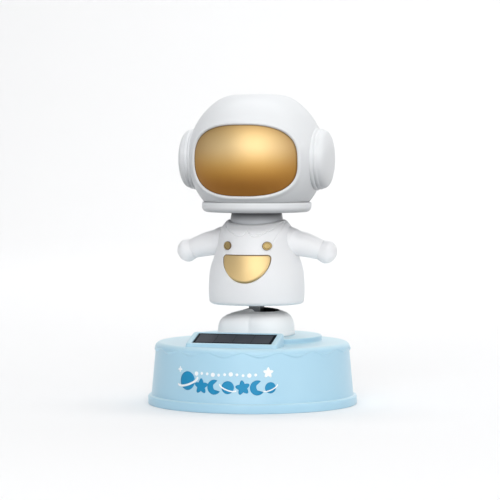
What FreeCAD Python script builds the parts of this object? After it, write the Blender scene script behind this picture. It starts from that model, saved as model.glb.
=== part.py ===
"""Solar swaying astronaut figure for a dashboard or desk, as a parametric FreeCAD document.

A round base holds a tilted solar cell, a circuit board and a drive coil. A slim post rises from
the base through the shoes. The torso hangs on the post like a bell and sways. The helmet rocks on
a second pin at the top of the post, and its long lever runs down beside the post into the base,
where a weight and a magnet swing over the coil.

Millimetres, +Z up, +X to the figure's left-hand side as seen from the front, front towards -Y.
The origin is the centre of the base's underside.
"""
import FreeCAD, Part
import Sketcher
import math
import os

V = FreeCAD.Vector
X_AXIS = V(1, 0, 0)
Y_AXIS = V(0, 1, 0)
Z_AXIS = V(0, 0, 1)

doc = FreeCAD.newDocument("solar_swaying_figure")
made = []

# ---------------------------------------------------------------- driving dimensions
SIZES = {
    # base
    "flange_radius": 37.0,
    "flange_height": 3.2,
    "drum_foot_radius": 35.8,
    "drum_top_radius": 34.8,
    "drum_rounding": 2.2,
    "deck_height": 21.9,
    "shell_inner_radius": 33.2,
    "base_wall": 1.6,
    "platform_radius": 23.2,
    "platform_rise": 1.9,
    "icing_proud": 0.7,
    "icing_low": 19.3,
    "icing_wave": 1.4,
    "scallop_radius": 9.0,
    # cover
    "cover_seat_radius": 34.6,
    "cover_radius": 34.45,
    "cover_thickness": 1.6,
    "boss_circle": 28.0,
    "boss_radius": 2.6,
    "screw_radius": 1.0,
    "screw_head_radius": 1.9,
    # solar cell and its sloping frame
    "cell_width": 28.0,
    "cell_depth": 8.1,
    "cell_thickness": 1.1,
    "cell_y": -23.5,
    "cell_z": 24.7,
    "cell_tilt": 17.5,
    "frame_width": 32.6,
    "frame_front_lip": 1.8,
    "frame_back_lip": 1.5,
    "frame_edge_above_cell": 0.55,
    # figure
    "figure_y": 5.8,
    "post_width": 3.6,
    "post_front": 4.0,
    "post_back": 1.6,
    "post_top": 71.6,
    "torso_pin_height": 60.0,
    "head_pin_height": 69.5,
    "pin_radius": 0.6,
    "running_gap": 0.05,
    "lever_front": 1.1,
    "lever_back": 4.0,
    "opening_half_length": 9.6,
    "shoe_slot_half_length": 7.4,
    "shoe_slot_half_depth": 5.2,
    "shoe_height": 9.5,
    "body_wall": 1.2,
    "torso_bottom": 35.0,
    "neck_radius": 8.9,
    "neck_top_radius": 8.4,
    "neck_top": 68.0,
    "helmet_radius": 24.6,
    "helmet_height": 87.0,
    "helmet_top": 109.4,
    "helmet_wall": 1.3,
    "collar_radius": 19.5,
    "collar_bottom": 67.6,
    "collar_top": 71.2,
    "collar_hole_radius": 12.0,
    "visor_half_width": 18.45,
    "visor_half_height": 12.7,
    "visor_centre": 86.1,
    "visor_recess": 0.45,
    "visor_thickness": 1.2,
    "pod_radius": 11.1,
    "pod_height": 86.4,
    "pod_reach": 26.7,
    "arm_height": 59.4,
    "arm_root_x": 9.0,
    "arm_droop": 19.5,
    "arm_length": 21.3,
    "arm_radius": 4.7,
    "wrist_radius": 3.25,
    "hand_radius": 4.0,
    "pocket_half_width": 8.5,
    "pocket_top": 52.3,
    "pocket_drop": 9.1,
    "button_x": 7.05,
    "button_z": 56.0,
    "button_radius": 1.5,
    # drive
    "coil_radius": 9.0,
    "coil_core_radius": 3.2,
    "coil_height": 4.0,
    "magnet_radius": 6.0,
    "magnet_height": 4.5,
    "magnet_bottom": 8.8,
}

sheet = doc.addObject("Spreadsheet::Sheet", "Sizes")
for row, (alias, number) in enumerate(SIZES.items(), start=1):
    sheet.set(f"A{row}", alias)
    sheet.set(f"B{row}", str(number))
    sheet.setAlias(f"B{row}", alias)
doc.recompute()


class Size:
    """A dimension that knows its number and the spreadsheet expression it comes from."""

    def __init__(self, number, text=None):
        self.number = float(number)
        self.text = text or f"({self.number!r})"

    def _join(self, sign, other, number):
        return Size(number, f"({self.text} {sign} {as_size(other).text})")

    def __add__(self, other):
        return self._join("+", other, self.number + float(as_size(other)))

    def __sub__(self, other):
        return self._join("-", other, self.number - float(as_size(other)))

    def __mul__(self, other):
        return self._join("*", other, self.number * float(as_size(other)))

    def __truediv__(self, other):
        return self._join("/", other, self.number / float(as_size(other)))

    def __neg__(self):
        return Size(-self.number, f"(0 - {self.text})")

    def __radd__(self, other):
        return as_size(other) + self

    def __rsub__(self, other):
        return as_size(other) - self

    def __rmul__(self, other):
        return as_size(other) * self

    def __float__(self):
        return self.number


def as_size(value):
    return value if isinstance(value, Size) else Size(value)


class Sheet:
    """The sheet's cells as Sizes, read by alias."""

    def __getattr__(self, alias):
        return Size(float(sheet.get(alias)), f"Sizes.{alias}")


S = Sheet()


# ---------------------------------------------------------------- helpers
def bind(thing, prop, value):
    """Sets a property and ties it to its expression."""
    value = as_size(value)
    if "." not in prop:
        setattr(thing, prop, value.number)
    thing.setExpression(prop, value.text)


def place(thing, x=0, y=0, z=0, axis=Z_AXIS, angle=0.0):
    """Puts a thing at a bound position, turned by angle about axis."""
    thing.Placement = FreeCAD.Placement(
        V(float(as_size(x)), float(as_size(y)), float(as_size(z))), FreeCAD.Rotation(axis, angle)
    )
    for letter, value in (("x", x), ("y", y), ("z", z)):
        thing.setExpression(f"Placement.Base.{letter}", as_size(value).text)
    return thing


def keep(thing, label):
    """Marks a finished sub-part: its label names its file."""
    thing.Label = label
    made.append(thing)
    return thing


def new_body(name):
    return doc.addObject("PartDesign::Body", name)


def plane(body, role):
    return next(o for o in body.Origin.OriginFeatures if o.Role == role)


def sketch_on(body, name, role, offset=0):
    """A sketch on one of its body's origin planes, moved along the plane's normal by offset."""
    sketch = body.newObject("Sketcher::SketchObject", name)
    sketch.AttachmentSupport = (plane(body, role), [""])
    sketch.MapMode = "FlatFace"
    offset = as_size(offset)
    sketch.AttachmentOffset = FreeCAD.Placement(V(0, 0, offset.number), FreeCAD.Rotation())
    sketch.setExpression("AttachmentOffset.Base.z", offset.text)
    return sketch


def fix_point(sketch, geometry, end, x, y):
    """Ties one point of the sketch to bound distances from the origin."""
    for kind, axis, value in (("DistanceX", -2, as_size(x)), ("DistanceY", -1, as_size(y))):
        if abs(value.number) < 1e-9:
            sketch.addConstraint(Sketcher.Constraint("PointOnObject", geometry, end, axis))
        else:
            index = sketch.addConstraint(Sketcher.Constraint(kind, -1, 1, geometry, end, value.number))
            sketch.setExpression(f"Constraints[{index}]", value.text)


def outline(body, name, role, points, offset=0):
    """A closed polygon sketch whose corners are bound to the sheet."""
    sketch = sketch_on(body, name, role, offset)
    corners = [V(float(as_size(x)), float(as_size(y)), 0) for x, y in points]
    count = len(corners)
    for i in range(count):
        sketch.addGeometry(Part.LineSegment(corners[i], corners[(i + 1) % count]))
    for i in range(count):
        sketch.addConstraint(Sketcher.Constraint("Coincident", i, 2, (i + 1) % count, 1))
    for i, (x, y) in enumerate(points):
        fix_point(sketch, i, 1, x, y)
    return sketch


def circles(body, name, role, rounds, offset=0):
    """A sketch of circles, each (x, y, radius)."""
    sketch = sketch_on(body, name, role, offset)
    for i, (x, y, radius) in enumerate(rounds):
        radius = as_size(radius)
        centre = V(float(as_size(x)), float(as_size(y)), 0)
        sketch.addGeometry(Part.Circle(centre, Z_AXIS, radius.number))
        fix_point(sketch, i, 3, x, y)
        index = sketch.addConstraint(Sketcher.Constraint("Radius", i, radius.number))
        sketch.setExpression(f"Constraints[{index}]", radius.text)
    return sketch


def pad(body, name, sketch, length, symmetric=False, back=False):
    feature = body.newObject("PartDesign::Pad", name)
    feature.Profile = sketch
    bind(feature, "Length", length)
    feature.SideType = "Symmetric" if symmetric else "One side"
    feature.Reversed = back
    doc.recompute()
    return feature


def pocket(body, name, sketch, length, symmetric=False, forward=False):
    """A cut against the sketch's normal, or along it with forward. It has to remove material."""
    before = body.Shape.Volume
    feature = body.newObject("PartDesign::Pocket", name)
    feature.Profile = sketch
    bind(feature, "Length", length)
    feature.SideType = "Symmetric" if symmetric else "One side"
    feature.Reversed = forward
    doc.recompute()
    if body.Shape.Volume > before - 0.01:
        raise SystemExit(f"{name} cuts nothing")
    return feature


def revolve(body, name, sketch, axis="V_Axis"):
    feature = body.newObject("PartDesign::Revolution", name)
    feature.Profile = sketch
    feature.ReferenceAxis = (sketch, [axis])
    feature.Angle = 360.0
    doc.recompute()
    return feature


def round_edges(body, name, radius, test):
    """Fillets the edges of the body's last feature that pass the test."""
    base = body.Tip
    names = [f"Edge{i}" for i, e in enumerate(base.Shape.Edges, start=1) if test(e)]
    if not names:
        raise SystemExit(f"{name} finds no edge")
    feature = body.newObject("PartDesign::Fillet", name)
    feature.Base = (base, names)
    bind(feature, "Radius", radius)
    doc.recompute()
    return feature


def ring_edge(radius, height, axis=2):
    """A test for the circular edge of that radius, centred at that height along an axis."""

    def test(edge):
        curve = edge.Curve
        if not isinstance(curve, Part.Circle):
            return False
        return abs(curve.Radius - float(radius)) < 1e-3 and abs(curve.Center[axis] - float(height)) < 1e-3

    return test


def spun(name, points, role="XZ_Plane", axis="V_Axis"):
    """A body turned from one closed section."""
    body = new_body(name)
    revolve(body, name + "_turn", outline(body, name + "_section", role, points), axis)
    return body


def cylinder(name, radius, height, x=0, y=0, z=0, axis=Z_AXIS, angle=0.0):
    solid = doc.addObject("Part::Cylinder", name)
    bind(solid, "Radius", radius)
    bind(solid, "Height", height)
    return place(solid, x, y, z, axis, angle)


def along_y(name, radius, start, end, x, z):
    """A cylinder along Y between two places, measured from the figure's axis."""
    start, end = as_size(start), as_size(end)
    return cylinder(name, radius, end - start, x, S.figure_y + start, z, X_AXIS, -90)


def box(name, low, high):
    """A box between two bound corners."""
    solid = doc.addObject("Part::Box", name)
    for prop, a, b in zip(("Length", "Width", "Height"), low, high):
        bind(solid, prop, as_size(b) - a)
    return place(solid, *low)


def boolean(kind, name, first, *others):
    """Cut takes the others from the first; Fuse and Common join or intersect them all."""
    if kind == "Cut":
        tool = others[0] if len(others) == 1 else boolean("Fuse", name + "_tools", *others)
        result = doc.addObject("Part::Cut", name)
        result.Base, result.Tool = first, tool
    else:
        result = doc.addObject({"Fuse": "Part::MultiFuse", "Common": "Part::MultiCommon"}[kind], name)
        result.Shapes = [first, *others]
    result.Refine = True
    return result


def group(name, solids):
    """Separate solids of one node, kept apart."""
    result = doc.addObject("Part::Compound", name)
    result.Links = solids
    return result


def screw(name, radius, head_radius, length, recess, x, y, z, axis=Z_AXIS, angle=0.0):
    """A pan-head screw with a cross recess, standing on its head with its shank along +Z."""
    head = 0.45 * float(head_radius) + 0.15
    body = spun(
        name + "_blank",
        [
            (0, 0),
            (head_radius, 0),
            (head_radius, head),
            (radius, head),
            (radius, as_size(length) - radius),
            (as_size(radius) * 0.35, length),
            (0, length),
        ],
    )
    wide, narrow = as_size(head_radius) * 0.62, 0.18
    arms = [
        box(f"{name}_slot_x", (-wide, -narrow, -0.01), (wide, narrow, recess)),
        box(f"{name}_slot_y", (-narrow, -wide, -0.01), (narrow, wide, recess)),
    ]
    return place(boolean("Cut", name, body, *arms), x, y, z, axis, angle)


# ---------------------------------------------------------------- base
BOSS_ANGLES = (90, 210, 330)
PLATFORM_TOP = S.deck_height + S.platform_rise


def boss_places():
    """Centres of the three screw bosses, bound to the boss circle."""
    return [
        (S.boss_circle * math.cos(math.radians(a)), S.boss_circle * math.sin(math.radians(a)))
        for a in BOSS_ANGLES
    ]


def cell_corner(across, up):
    """(y, z) of a point in the solar cell's plane: across towards the back, up along the plane's normal."""
    tilt = math.radians(float(S.cell_tilt))
    c, s = math.cos(tilt), math.sin(tilt)
    across, up = as_size(across), as_size(up)
    return S.cell_y + across * c - up * s, S.cell_z + across * s + up * c


def make_base_housing():
    """The drum with its flange, platform, sloping cell frame, screw bosses and scalloped icing rim."""
    body = new_body("housing_body")
    ceiling = S.deck_height - S.base_wall
    section = [
        (0, S.deck_height),
        (S.drum_top_radius, S.deck_height),
        (S.drum_foot_radius, S.flange_height),
        (S.flange_radius, S.flange_height),
        (S.flange_radius, 0),
        (S.cover_seat_radius, 0),
        (S.cover_seat_radius, S.cover_thickness),
        (S.shell_inner_radius, S.cover_thickness),
        (S.shell_inner_radius, ceiling),
        (0, ceiling),
    ]
    revolve(body, "drum", outline(body, "drum_section", "XZ_Plane", section))
    round_edges(body, "drum_top_round", S.drum_rounding, ring_edge(S.drum_top_radius, S.deck_height))
    round_edges(body, "flange_round", 0.9, ring_edge(S.flange_radius, S.flange_height))
    rise = circles(
        body,
        "platform_circle",
        "XY_Plane",
        [(0, S.figure_y, S.platform_radius)],
        S.deck_height - 0.5,
    )
    pad(body, "platform", rise, S.platform_rise + 0.5)
    round_edges(body, "platform_round", 0.5, ring_edge(S.platform_radius, PLATFORM_TOP))
    front, back = -S.cell_depth / 2 - S.frame_front_lip, S.cell_depth / 2 + S.frame_back_lip
    foot = S.deck_height - 0.8
    front_y, front_z = cell_corner(front, S.frame_edge_above_cell)
    back_y, back_z = cell_corner(back, S.frame_edge_above_cell)
    wedge = outline(
        body,
        "frame_section",
        "YZ_Plane",
        [(front_y - 0.15, foot), (front_y, front_z), (back_y, back_z), (back_y + 0.5, foot)],
    )
    pad(body, "cell_frame", wedge, S.frame_width, symmetric=True)
    seat_depth = S.cell_thickness
    half = S.cell_depth / 2 + 0.15
    seat = outline(
        body,
        "seat_section",
        "YZ_Plane",
        [
            cell_corner(-half, -seat_depth),
            cell_corner(-half, 2),
            cell_corner(half, 2),
            cell_corner(half, -seat_depth),
        ],
    )
    pocket(body, "cell_seat", seat, S.cell_width + 0.3, symmetric=True)
    lead_hole = circles(body, "lead_hole_circle", "XY_Plane", [(0, S.cell_y, 1.5)], S.deck_height + 4)
    pocket(body, "lead_hole", lead_hole, 8)
    half_length = S.opening_half_length
    opening_front = S.figure_y - 1.45
    opening_back = S.figure_y + 5.0
    opening = outline(
        body,
        "lever_opening_outline",
        "XY_Plane",
        [
            (-half_length, opening_front),
            (half_length, opening_front),
            (half_length, opening_back),
            (-half_length, opening_back),
        ],
        PLATFORM_TOP + 1,
    )
    pocket(body, "lever_opening", opening, 6)
    boss_foot = S.cover_thickness + 0.05
    rounds = [(x, y, S.boss_radius) for x, y in boss_places()]
    boss_sketch = circles(body, "boss_circles", "XY_Plane", rounds, boss_foot)
    pad(body, "bosses", boss_sketch, ceiling - boss_foot + 0.4)
    pilots = [(x, y, S.screw_radius) for x, y in boss_places()]
    pocket(body, "boss_holes", circles(body, "pilot_circles", "XY_Plane", pilots, boss_foot), 8, forward=True)
    foot_pilots = [(x, S.figure_y - POST_SCREW_Y, 0.7) for x in (-POST_SCREW_X, POST_SCREW_X)]
    pocket(
        body,
        "post_screw_holes",
        circles(body, "post_screw_circles", "XY_Plane", foot_pilots, PLATFORM_TOP + 0.5),
        3.6,
    )
    return keep(boolean("Fuse", "housing", body, make_icing()), "base_housing")


def make_icing():
    """A thin raised rim round the drum's shoulder, its lower edge cut into scallops."""
    rim_radius = S.drum_top_radius + S.icing_proud
    ring = new_body("icing_body")
    section = [
        (S.shell_inner_radius + 0.3, S.icing_low),
        (rim_radius, S.icing_low),
        (rim_radius, S.deck_height),
        (S.shell_inner_radius - 2, S.deck_height),
        (S.shell_inner_radius - 2, S.deck_height - 1.3),
        (S.shell_inner_radius + 0.3, S.deck_height - 1.3),
    ]
    revolve(ring, "icing", outline(ring, "icing_section", "XZ_Plane", section))
    round_edges(ring, "icing_round", 1.8, ring_edge(rim_radius, S.deck_height))
    count = 16
    centre_z = S.icing_low + S.icing_wave - S.scallop_radius
    cutters = []
    for k in range(count):
        turn = (k + 0.5) * 360.0 / count
        cutter = cylinder(f"scallop_{k + 1}", S.scallop_radius, 8, 0, 0, centre_z)
        cutter.Placement.Rotation = FreeCAD.Rotation(Z_AXIS, turn) * FreeCAD.Rotation(Y_AXIS, 90)
        direction = cutter.Placement.Rotation.multVec(Z_AXIS)
        start = S.drum_top_radius - 3
        cutter.setExpression("Placement.Base.x", (start * direction.x).text)
        cutter.setExpression("Placement.Base.y", (start * direction.y).text)
        cutters.append(cutter)
    return boolean("Cut", "icing_cut", ring, *cutters)


def make_base_cover():
    """The round bottom plate, flush with the flange, with board posts and a spigot for the coil bobbin."""
    body = new_body("cover_body")
    pad(body, "plate", circles(body, "plate_circle", "XY_Plane", [(0, 0, S.cover_radius)]), S.cover_thickness)
    posts = [(x, y, 1.5) for x in (-BOARD_POST_X, BOARD_POST_X) for y in BOARD_POST_YS]
    pad(
        body,
        "board_posts",
        circles(body, "board_post_circles", "XY_Plane", posts, S.cover_thickness - 0.2),
        BOARD_BOTTOM - S.cover_thickness + 0.2,
    )
    spigot = [(0, COIL_Y, BOBBIN_BORE - 0.1)]
    pad(body, "spigot", circles(body, "spigot_circle", "XY_Plane", spigot, S.cover_thickness - 0.2), 3.2)
    holes = [(x, y, S.screw_radius + 0.15) for x, y in boss_places()]
    pocket(body, "screw_holes", circles(body, "screw_hole_circles", "XY_Plane", holes), 3, forward=True)
    sinks = [(x, y, S.screw_head_radius + 0.2) for x, y in boss_places()]
    pocket(body, "head_sinks", circles(body, "sink_circles", "XY_Plane", sinks), SCREW_SINK, forward=True)
    return keep(body, "base_cover")


SCREW_SINK = 1.15
BOARD_BOTTOM = Size(3.6)
BOARD_POST_X = 11.0
BOARD_POST_YS = (-17.0, -8.0)
BOBBIN_BORE = 2.0
POST_SCREW_X = 4.2
POST_SCREW_Y = 8.4
COIL_Y = S.figure_y + (S.lever_back - S.lever_front) / 2


def make_cover_screws():
    """Three screws through the cover into the housing's bosses, their heads sunk in the cover."""
    screws = [
        screw(f"cover_screw_{i}", S.screw_radius - 0.05, S.screw_head_radius, 7.0, 0.6, x, y, 0.145)
        for i, (x, y) in enumerate(boss_places(), start=1)
    ]
    return keep(group("cover_screw_set", screws), "cover_screws")


def make_solar_cell():
    """The glass cell, lying in its seat."""
    cell = box(
        "cell_plate",
        (-S.cell_width / 2, -S.cell_depth / 2, -S.cell_thickness),
        (S.cell_width / 2, S.cell_depth / 2, 0),
    )
    turned = doc.addObject("Part::Compound", "cell_turned")
    turned.Links = [cell]
    place(turned, 0, S.cell_y, S.cell_z, X_AXIS, float(S.cell_tilt))
    return keep(turned, "solar_cell")


# ---------------------------------------------------------------- drive
def make_drive():
    """Board, chip, capacitor, coil on its bobbin and the leads between them."""
    board_top = BOARD_BOTTOM + 1.0
    board = box("board", (-14, -20.5, BOARD_BOTTOM), (14, -4.5, board_top))
    keep(board, "circuit_board")
    chip = spun("chip", [(0, 0), (3.4, 0), (3.2, 0.5), (2.2, 1.1), (0, 1.35)])
    keep(place(chip, -6, -12.5, board_top), "driver_chip")
    can = new_body("capacitor")
    pad(can, "can", circles(can, "can_circle", "XY_Plane", [(0, 0, 3.15)]), 7.0)
    round_edges(can, "can_round", 0.5, ring_edge(3.15, 7.0))
    keep(place(can, 7.5, -12.5, board_top), "storage_capacitor")
    bore = Size(BOBBIN_BORE)
    bobbin = spun(
        "bobbin",
        [
            (bore, 0),
            (S.coil_radius + 0.6, 0),
            (S.coil_radius + 0.6, 0.6),
            (S.coil_core_radius, 0.6),
            (S.coil_core_radius, S.coil_height + 0.6),
            (S.coil_radius + 0.6, S.coil_height + 0.6),
            (S.coil_radius + 0.6, S.coil_height + 1.2),
            (bore, S.coil_height + 1.2),
        ],
    )
    keep(place(bobbin, 0, COIL_Y, S.cover_thickness), "coil_bobbin")
    coil = spun(
        "coil",
        [
            (S.coil_core_radius, 0.6),
            (S.coil_radius, 0.6),
            (S.coil_radius, S.coil_height + 0.6),
            (S.coil_core_radius, S.coil_height + 0.6),
        ],
    )
    keep(place(coil, 0, COIL_Y, S.cover_thickness), "drive_coil")
    make_leads(board_top)


def tube(name, points, radius):
    """A wire of straight runs joined by tangent arcs, swept with a round section."""
    route = [V(*p) for p in points]
    edges = []
    start = route[0]
    for before, corner, after in zip(route, route[1:], route[2:]):
        a, b = (before - corner), (after - corner)
        turn = math.pi - a.getAngle(b)
        reach = 0.45 * min(a.Length, b.Length)
        radius_here = reach / math.tan(turn / 2)
        print(f"{name}: bend radius {radius_here:.1f}")
        a.normalize()
        b.normalize()
        first, last = corner + a * reach, corner + b * reach
        middle_way = (a + b).normalize()
        depth = radius_here / math.cos(turn / 2) - radius_here
        edges += [Part.LineSegment(start, first), Part.Arc(first, corner + middle_way * depth, last)]
        start = last
    edges.append(Part.LineSegment(start, route[-1]))
    wire = Part.Wire([e.toShape() for e in edges])
    section = Part.Wire([Part.Circle(route[0], route[1] - route[0], radius).toShape()])
    solid = wire.makePipeShell([section], True, False)
    expected = math.pi * radius**2 * wire.Length
    if abs(solid.Volume / expected - 1) > 0.02:
        raise SystemExit(f"{name}: the swept volume is {solid.Volume:.2f} and not {expected:.2f}")
    lead = doc.addObject("Part::Feature", name)
    lead.Shape = solid
    return lead


def make_leads(board_top):
    """The cell's two insulated leads through the deck to the board, and the coil's two enamelled tails."""
    top = float(board_top)
    seat = float(S.cell_z - S.cell_thickness) - 0.15
    cell_y = float(S.cell_y)
    for name, side in (("lead_plus", 1), ("lead_minus", -1)):
        route = [
            (side * 0.75, cell_y, seat),
            (side * 0.75, cell_y, 15.0),
            (side * 3.2, cell_y + 4.4, 9.6),
            (side * 3.2, cell_y + 4.4, top),
        ]
        keep(tube(name, route, 0.45), f"cell_{name}")
    coil_y = float(COIL_Y)
    tails = []
    for side in (-1, 1):
        route = [
            (side * 3.4, coil_y - float(S.coil_radius) + 0.65, 4.2),
            (side * 3.4, coil_y - float(S.coil_radius) - 1.6, 4.8),
            (side * 3.6, coil_y - float(S.coil_radius) - 4.0, top + 1.6),
            (side * 3.6, coil_y - float(S.coil_radius) - 4.0, top),
        ]
        tails.append(tube(f"coil_tail_{side}", route, 0.18))
    keep(group("coil_tail_pair", tails), "coil_tails")


# ---------------------------------------------------------------- post and shoes
def make_support_post():
    """The fixed post: a screwed foot inside the shoes, a slim blade and two pressed cross pins."""
    foot = box(
        "post_foot",
        (-6.4, S.figure_y - 10.8, PLATFORM_TOP),
        (6.4, S.figure_y - S.post_back, PLATFORM_TOP + 1.6),
    )
    blade = box(
        "post_blade",
        (-S.post_width / 2, S.figure_y - S.post_front, PLATFORM_TOP),
        (S.post_width / 2, S.figure_y - S.post_back, S.post_top),
    )
    holes = [
        along_y("post_torso_hole", S.pin_radius, -5, 0, 0, S.torso_pin_height),
        along_y("post_head_hole", S.pin_radius, -5, 0, 0, S.head_pin_height),
    ]
    for side in (-1, 1):
        holes.append(
            cylinder(
                f"foot_hole_{side}", 0.85, 4, side * POST_SCREW_X, S.figure_y - POST_SCREW_Y, PLATFORM_TOP - 1
            )
        )
    keep(boolean("Cut", "post", boolean("Fuse", "post_solid", foot, blade), *holes), "support_post")
    screws = [
        screw(
            f"foot_screw_{side}",
            0.65,
            1.5,
            4.6,
            0.5,
            side * POST_SCREW_X,
            S.figure_y - POST_SCREW_Y,
            PLATFORM_TOP + 1.6 + 0.825,
            X_AXIS,
            180,
        )
        for side in (-1, 1)
    ]
    keep(group("foot_screw_set", screws), "post_screws")


def pin(label, height, front, back):
    """A headed steel pin along Y: its head is in front."""
    shank = along_y(label + "_shank", S.pin_radius, front, back, 0, height)
    head = along_y(label + "_head", 1.2, as_size(front) - 0.6, front, 0, height)
    return keep(boolean("Fuse", label + "_solid", shank, head), label)


def make_pins():
    """The pin that the torso hangs on, and the pin and push nut that carry the helmet's lever."""
    pin("torso_pin", S.torso_pin_height, -7.35, -S.post_back)
    pin("head_pin", S.head_pin_height, -S.post_front, 5.0)
    nut = boolean(
        "Cut",
        "push_nut",
        along_y("nut_disc", 1.5, S.lever_back + 0.15, S.lever_back + 0.65, 0, S.head_pin_height),
        along_y("nut_hole", S.pin_radius, S.lever_back, S.lever_back + 1, 0, S.head_pin_height),
    )
    keep(nut, "pin_nut")


def rounded_section(name, half_x, front, back, corner, z):
    """A rounded rectangle wire for lofts. Front and back are distances from the figure's axis."""
    x, f, b, r = (float(as_size(v)) for v in (half_x, front, back, corner))
    y0 = float(S.figure_y)
    left, right, low, high = -x, x, y0 - f, y0 + b
    k = r * (1 - math.sqrt(0.5))
    zz = float(as_size(z))
    points = [
        ((left + r, low), (right - r, low), (right - k, low + k), (right, low + r)),
        ((right, low + r), (right, high - r), (right - k, high - k), (right - r, high)),
        ((right - r, high), (left + r, high), (left + k, high - k), (left, high - r)),
        ((left, high - r), (left, low + r), (left + k, low + k), (left + r, low)),
    ]
    edges = []
    for a, b2, mid, end in points:
        edges.append(Part.LineSegment(V(*a, zz), V(*b2, zz)).toShape())
        edges.append(Part.Arc(V(*b2, zz), V(*mid, zz), V(*end, zz)).toShape())
    wire = doc.addObject("Part::Feature", name)
    wire.Shape = Part.Wire(edges)
    return wire


def loft(name, sections, ruled=False):
    result = doc.addObject("Part::Loft", name)
    result.Sections = sections
    result.Solid = True
    result.Ruled = ruled
    return result


SHOE_LEVELS = [
    # share of the height, half width, front, back, corner
    (0.0, 13.2, 12.3, 10.2, 5.0),
    (0.30, 13.1, 12.2, 10.0, 5.2),
    (0.60, 12.6, 11.5, 9.5, 5.4),
    (0.80, 11.8, 10.5, 8.8, 5.2),
    (0.92, 10.5, 9.0, 7.8, 4.6),
    (1.0, 8.8, 7.3, 6.6, 3.8),
]


def shoe_block(name, shrink):
    """The pair of shoes as one tapering block, or its hollow when shrunk."""
    sections = []
    for i, (share, half_x, front, back, corner) in enumerate(SHOE_LEVELS):
        height = share * float(S.shoe_height - shrink)
        z = PLATFORM_TOP + height - (0.0 if shrink == 0 or i else 0.5)
        sides = (half_x - shrink, front - shrink, back - shrink)
        sections.append(rounded_section(f"{name}_{i}", *sides, corner - shrink * 0.5, z))
    return loft(name, sections, ruled=False)


def make_shoes():
    """One hollow moulding of two shoes, open on top for the post and lever, with a toe crease."""
    outer = shoe_block("shoe_outer", 0)
    inner = shoe_block("shoe_inner", 1.2)
    slot = box(
        "shoe_slot",
        (-S.shoe_slot_half_length, S.figure_y - S.shoe_slot_half_depth, PLATFORM_TOP + 4),
        (S.shoe_slot_half_length, S.figure_y + S.shoe_slot_half_depth, PLATFORM_TOP + 12),
    )
    crease_box = box(
        "crease_box", (-0.3, S.figure_y - 14, PLATFORM_TOP - 1), (0.3, S.figure_y - 5.5, PLATFORM_TOP + 12)
    )
    crease = boolean("Cut", "toe_crease", crease_box, shoe_block("shoe_core", 0.55))
    keep(boolean("Cut", "shoes_solid", outer, inner, slot, crease), "shoes")


# ---------------------------------------------------------------- torso
TORSO_LEVELS = [
    # height above the hem, half width, half depth
    (0.0, 16.1, 16.1),
    (0.9, 16.95, 16.9),
    (5.0, 17.1, 17.0),
    (10.0, 16.9, 16.8),
    (14.0, 16.1, 16.3),
    (17.0, 15.0, 15.7),
    (21.0, 13.9, 14.9),
    (24.0, 13.4, 13.9),
    (26.5, 12.8, 12.6),
    (28.5, 11.6, 11.3),
    (29.8, 10.2, 10.2),
]

# the neckline dips towards the front by this tilt, from the top of the torso at its axis
NECKLINE = 29.8
NECKLINE_TILT = 8.0
NECKLINE_HALF_WIDTH = 20
NECKLINE_RUN = 30
NECKLINE_HEIGHT = 5


def outline_block(name, half_width, run, height):
    """A block that reaches forwards from the X axis, to be placed and turned about it."""
    rim = [(-half_width, -run), (half_width, -run), (half_width, 0), (-half_width, 0)]
    corners = [V(x, y, 0) for x, y in rim]
    face = Part.Face(Part.makePolygon(corners + corners[:1]))
    feature = doc.addObject("Part::Feature", name)
    feature.Shape = face.extrude(V(0, 0, height))
    return feature


def bell(name, grow, extend=0.0):
    """The torso's bell shape, grown or shrunk by an amount, and longer at both ends by extend."""
    sections = []
    last = len(TORSO_LEVELS) - 1
    for i, (height, half_x, half_y) in enumerate(TORSO_LEVELS):
        ellipse = doc.addObject("Part::Ellipse", f"{name}_{i}")
        wide, deep = as_size(half_x) + grow, as_size(half_y) + grow
        turned = wide.number < deep.number
        bind(ellipse, "MajorRadius", deep if turned else wide)
        bind(ellipse, "MinorRadius", wide if turned else deep)
        z = S.torso_bottom + height + (-extend if i == 0 else extend if i == last else 0)
        place(ellipse, 0, S.figure_y, z, Z_AXIS, 90 if turned else 0)
        sections.append(ellipse)
    return loft(name, sections)


def pocket_outline(name, grow):
    """The smile-shaped pocket as a solid that runs through the chest."""
    half, drop = float(S.pocket_half_width) + grow, float(S.pocket_drop) + grow
    corner = 1.2
    top = float(S.pocket_top) + grow
    steps = 12
    curve = [
        V(half * math.cos(math.radians(t)), 0, top - corner + (drop - corner) * math.sin(math.radians(t)))
        for t in [-180.0 * i / steps for i in range(steps + 1)]
    ]
    arc = Part.BSplineCurve()
    arc.interpolate(curve)
    k = corner * (1 - math.sqrt(0.5))
    left_arc = Part.Arc(V(-half, 0, top - corner), V(-half + k, 0, top - k), V(-half + corner, 0, top))
    right_arc = Part.Arc(V(half - corner, 0, top), V(half - k, 0, top - k), V(half, 0, top - corner))
    lid = Part.LineSegment(V(-half + corner, 0, top), V(half - corner, 0, top))
    wire = Part.Wire([arc.toShape(), left_arc.toShape(), lid.toShape(), right_arc.toShape()])
    solid = doc.addObject("Part::Feature", name)
    solid.Shape = Part.Face(wire).extrude(V(0, -20, 0))
    return place(solid, 0, S.figure_y - 5, 0)


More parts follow.
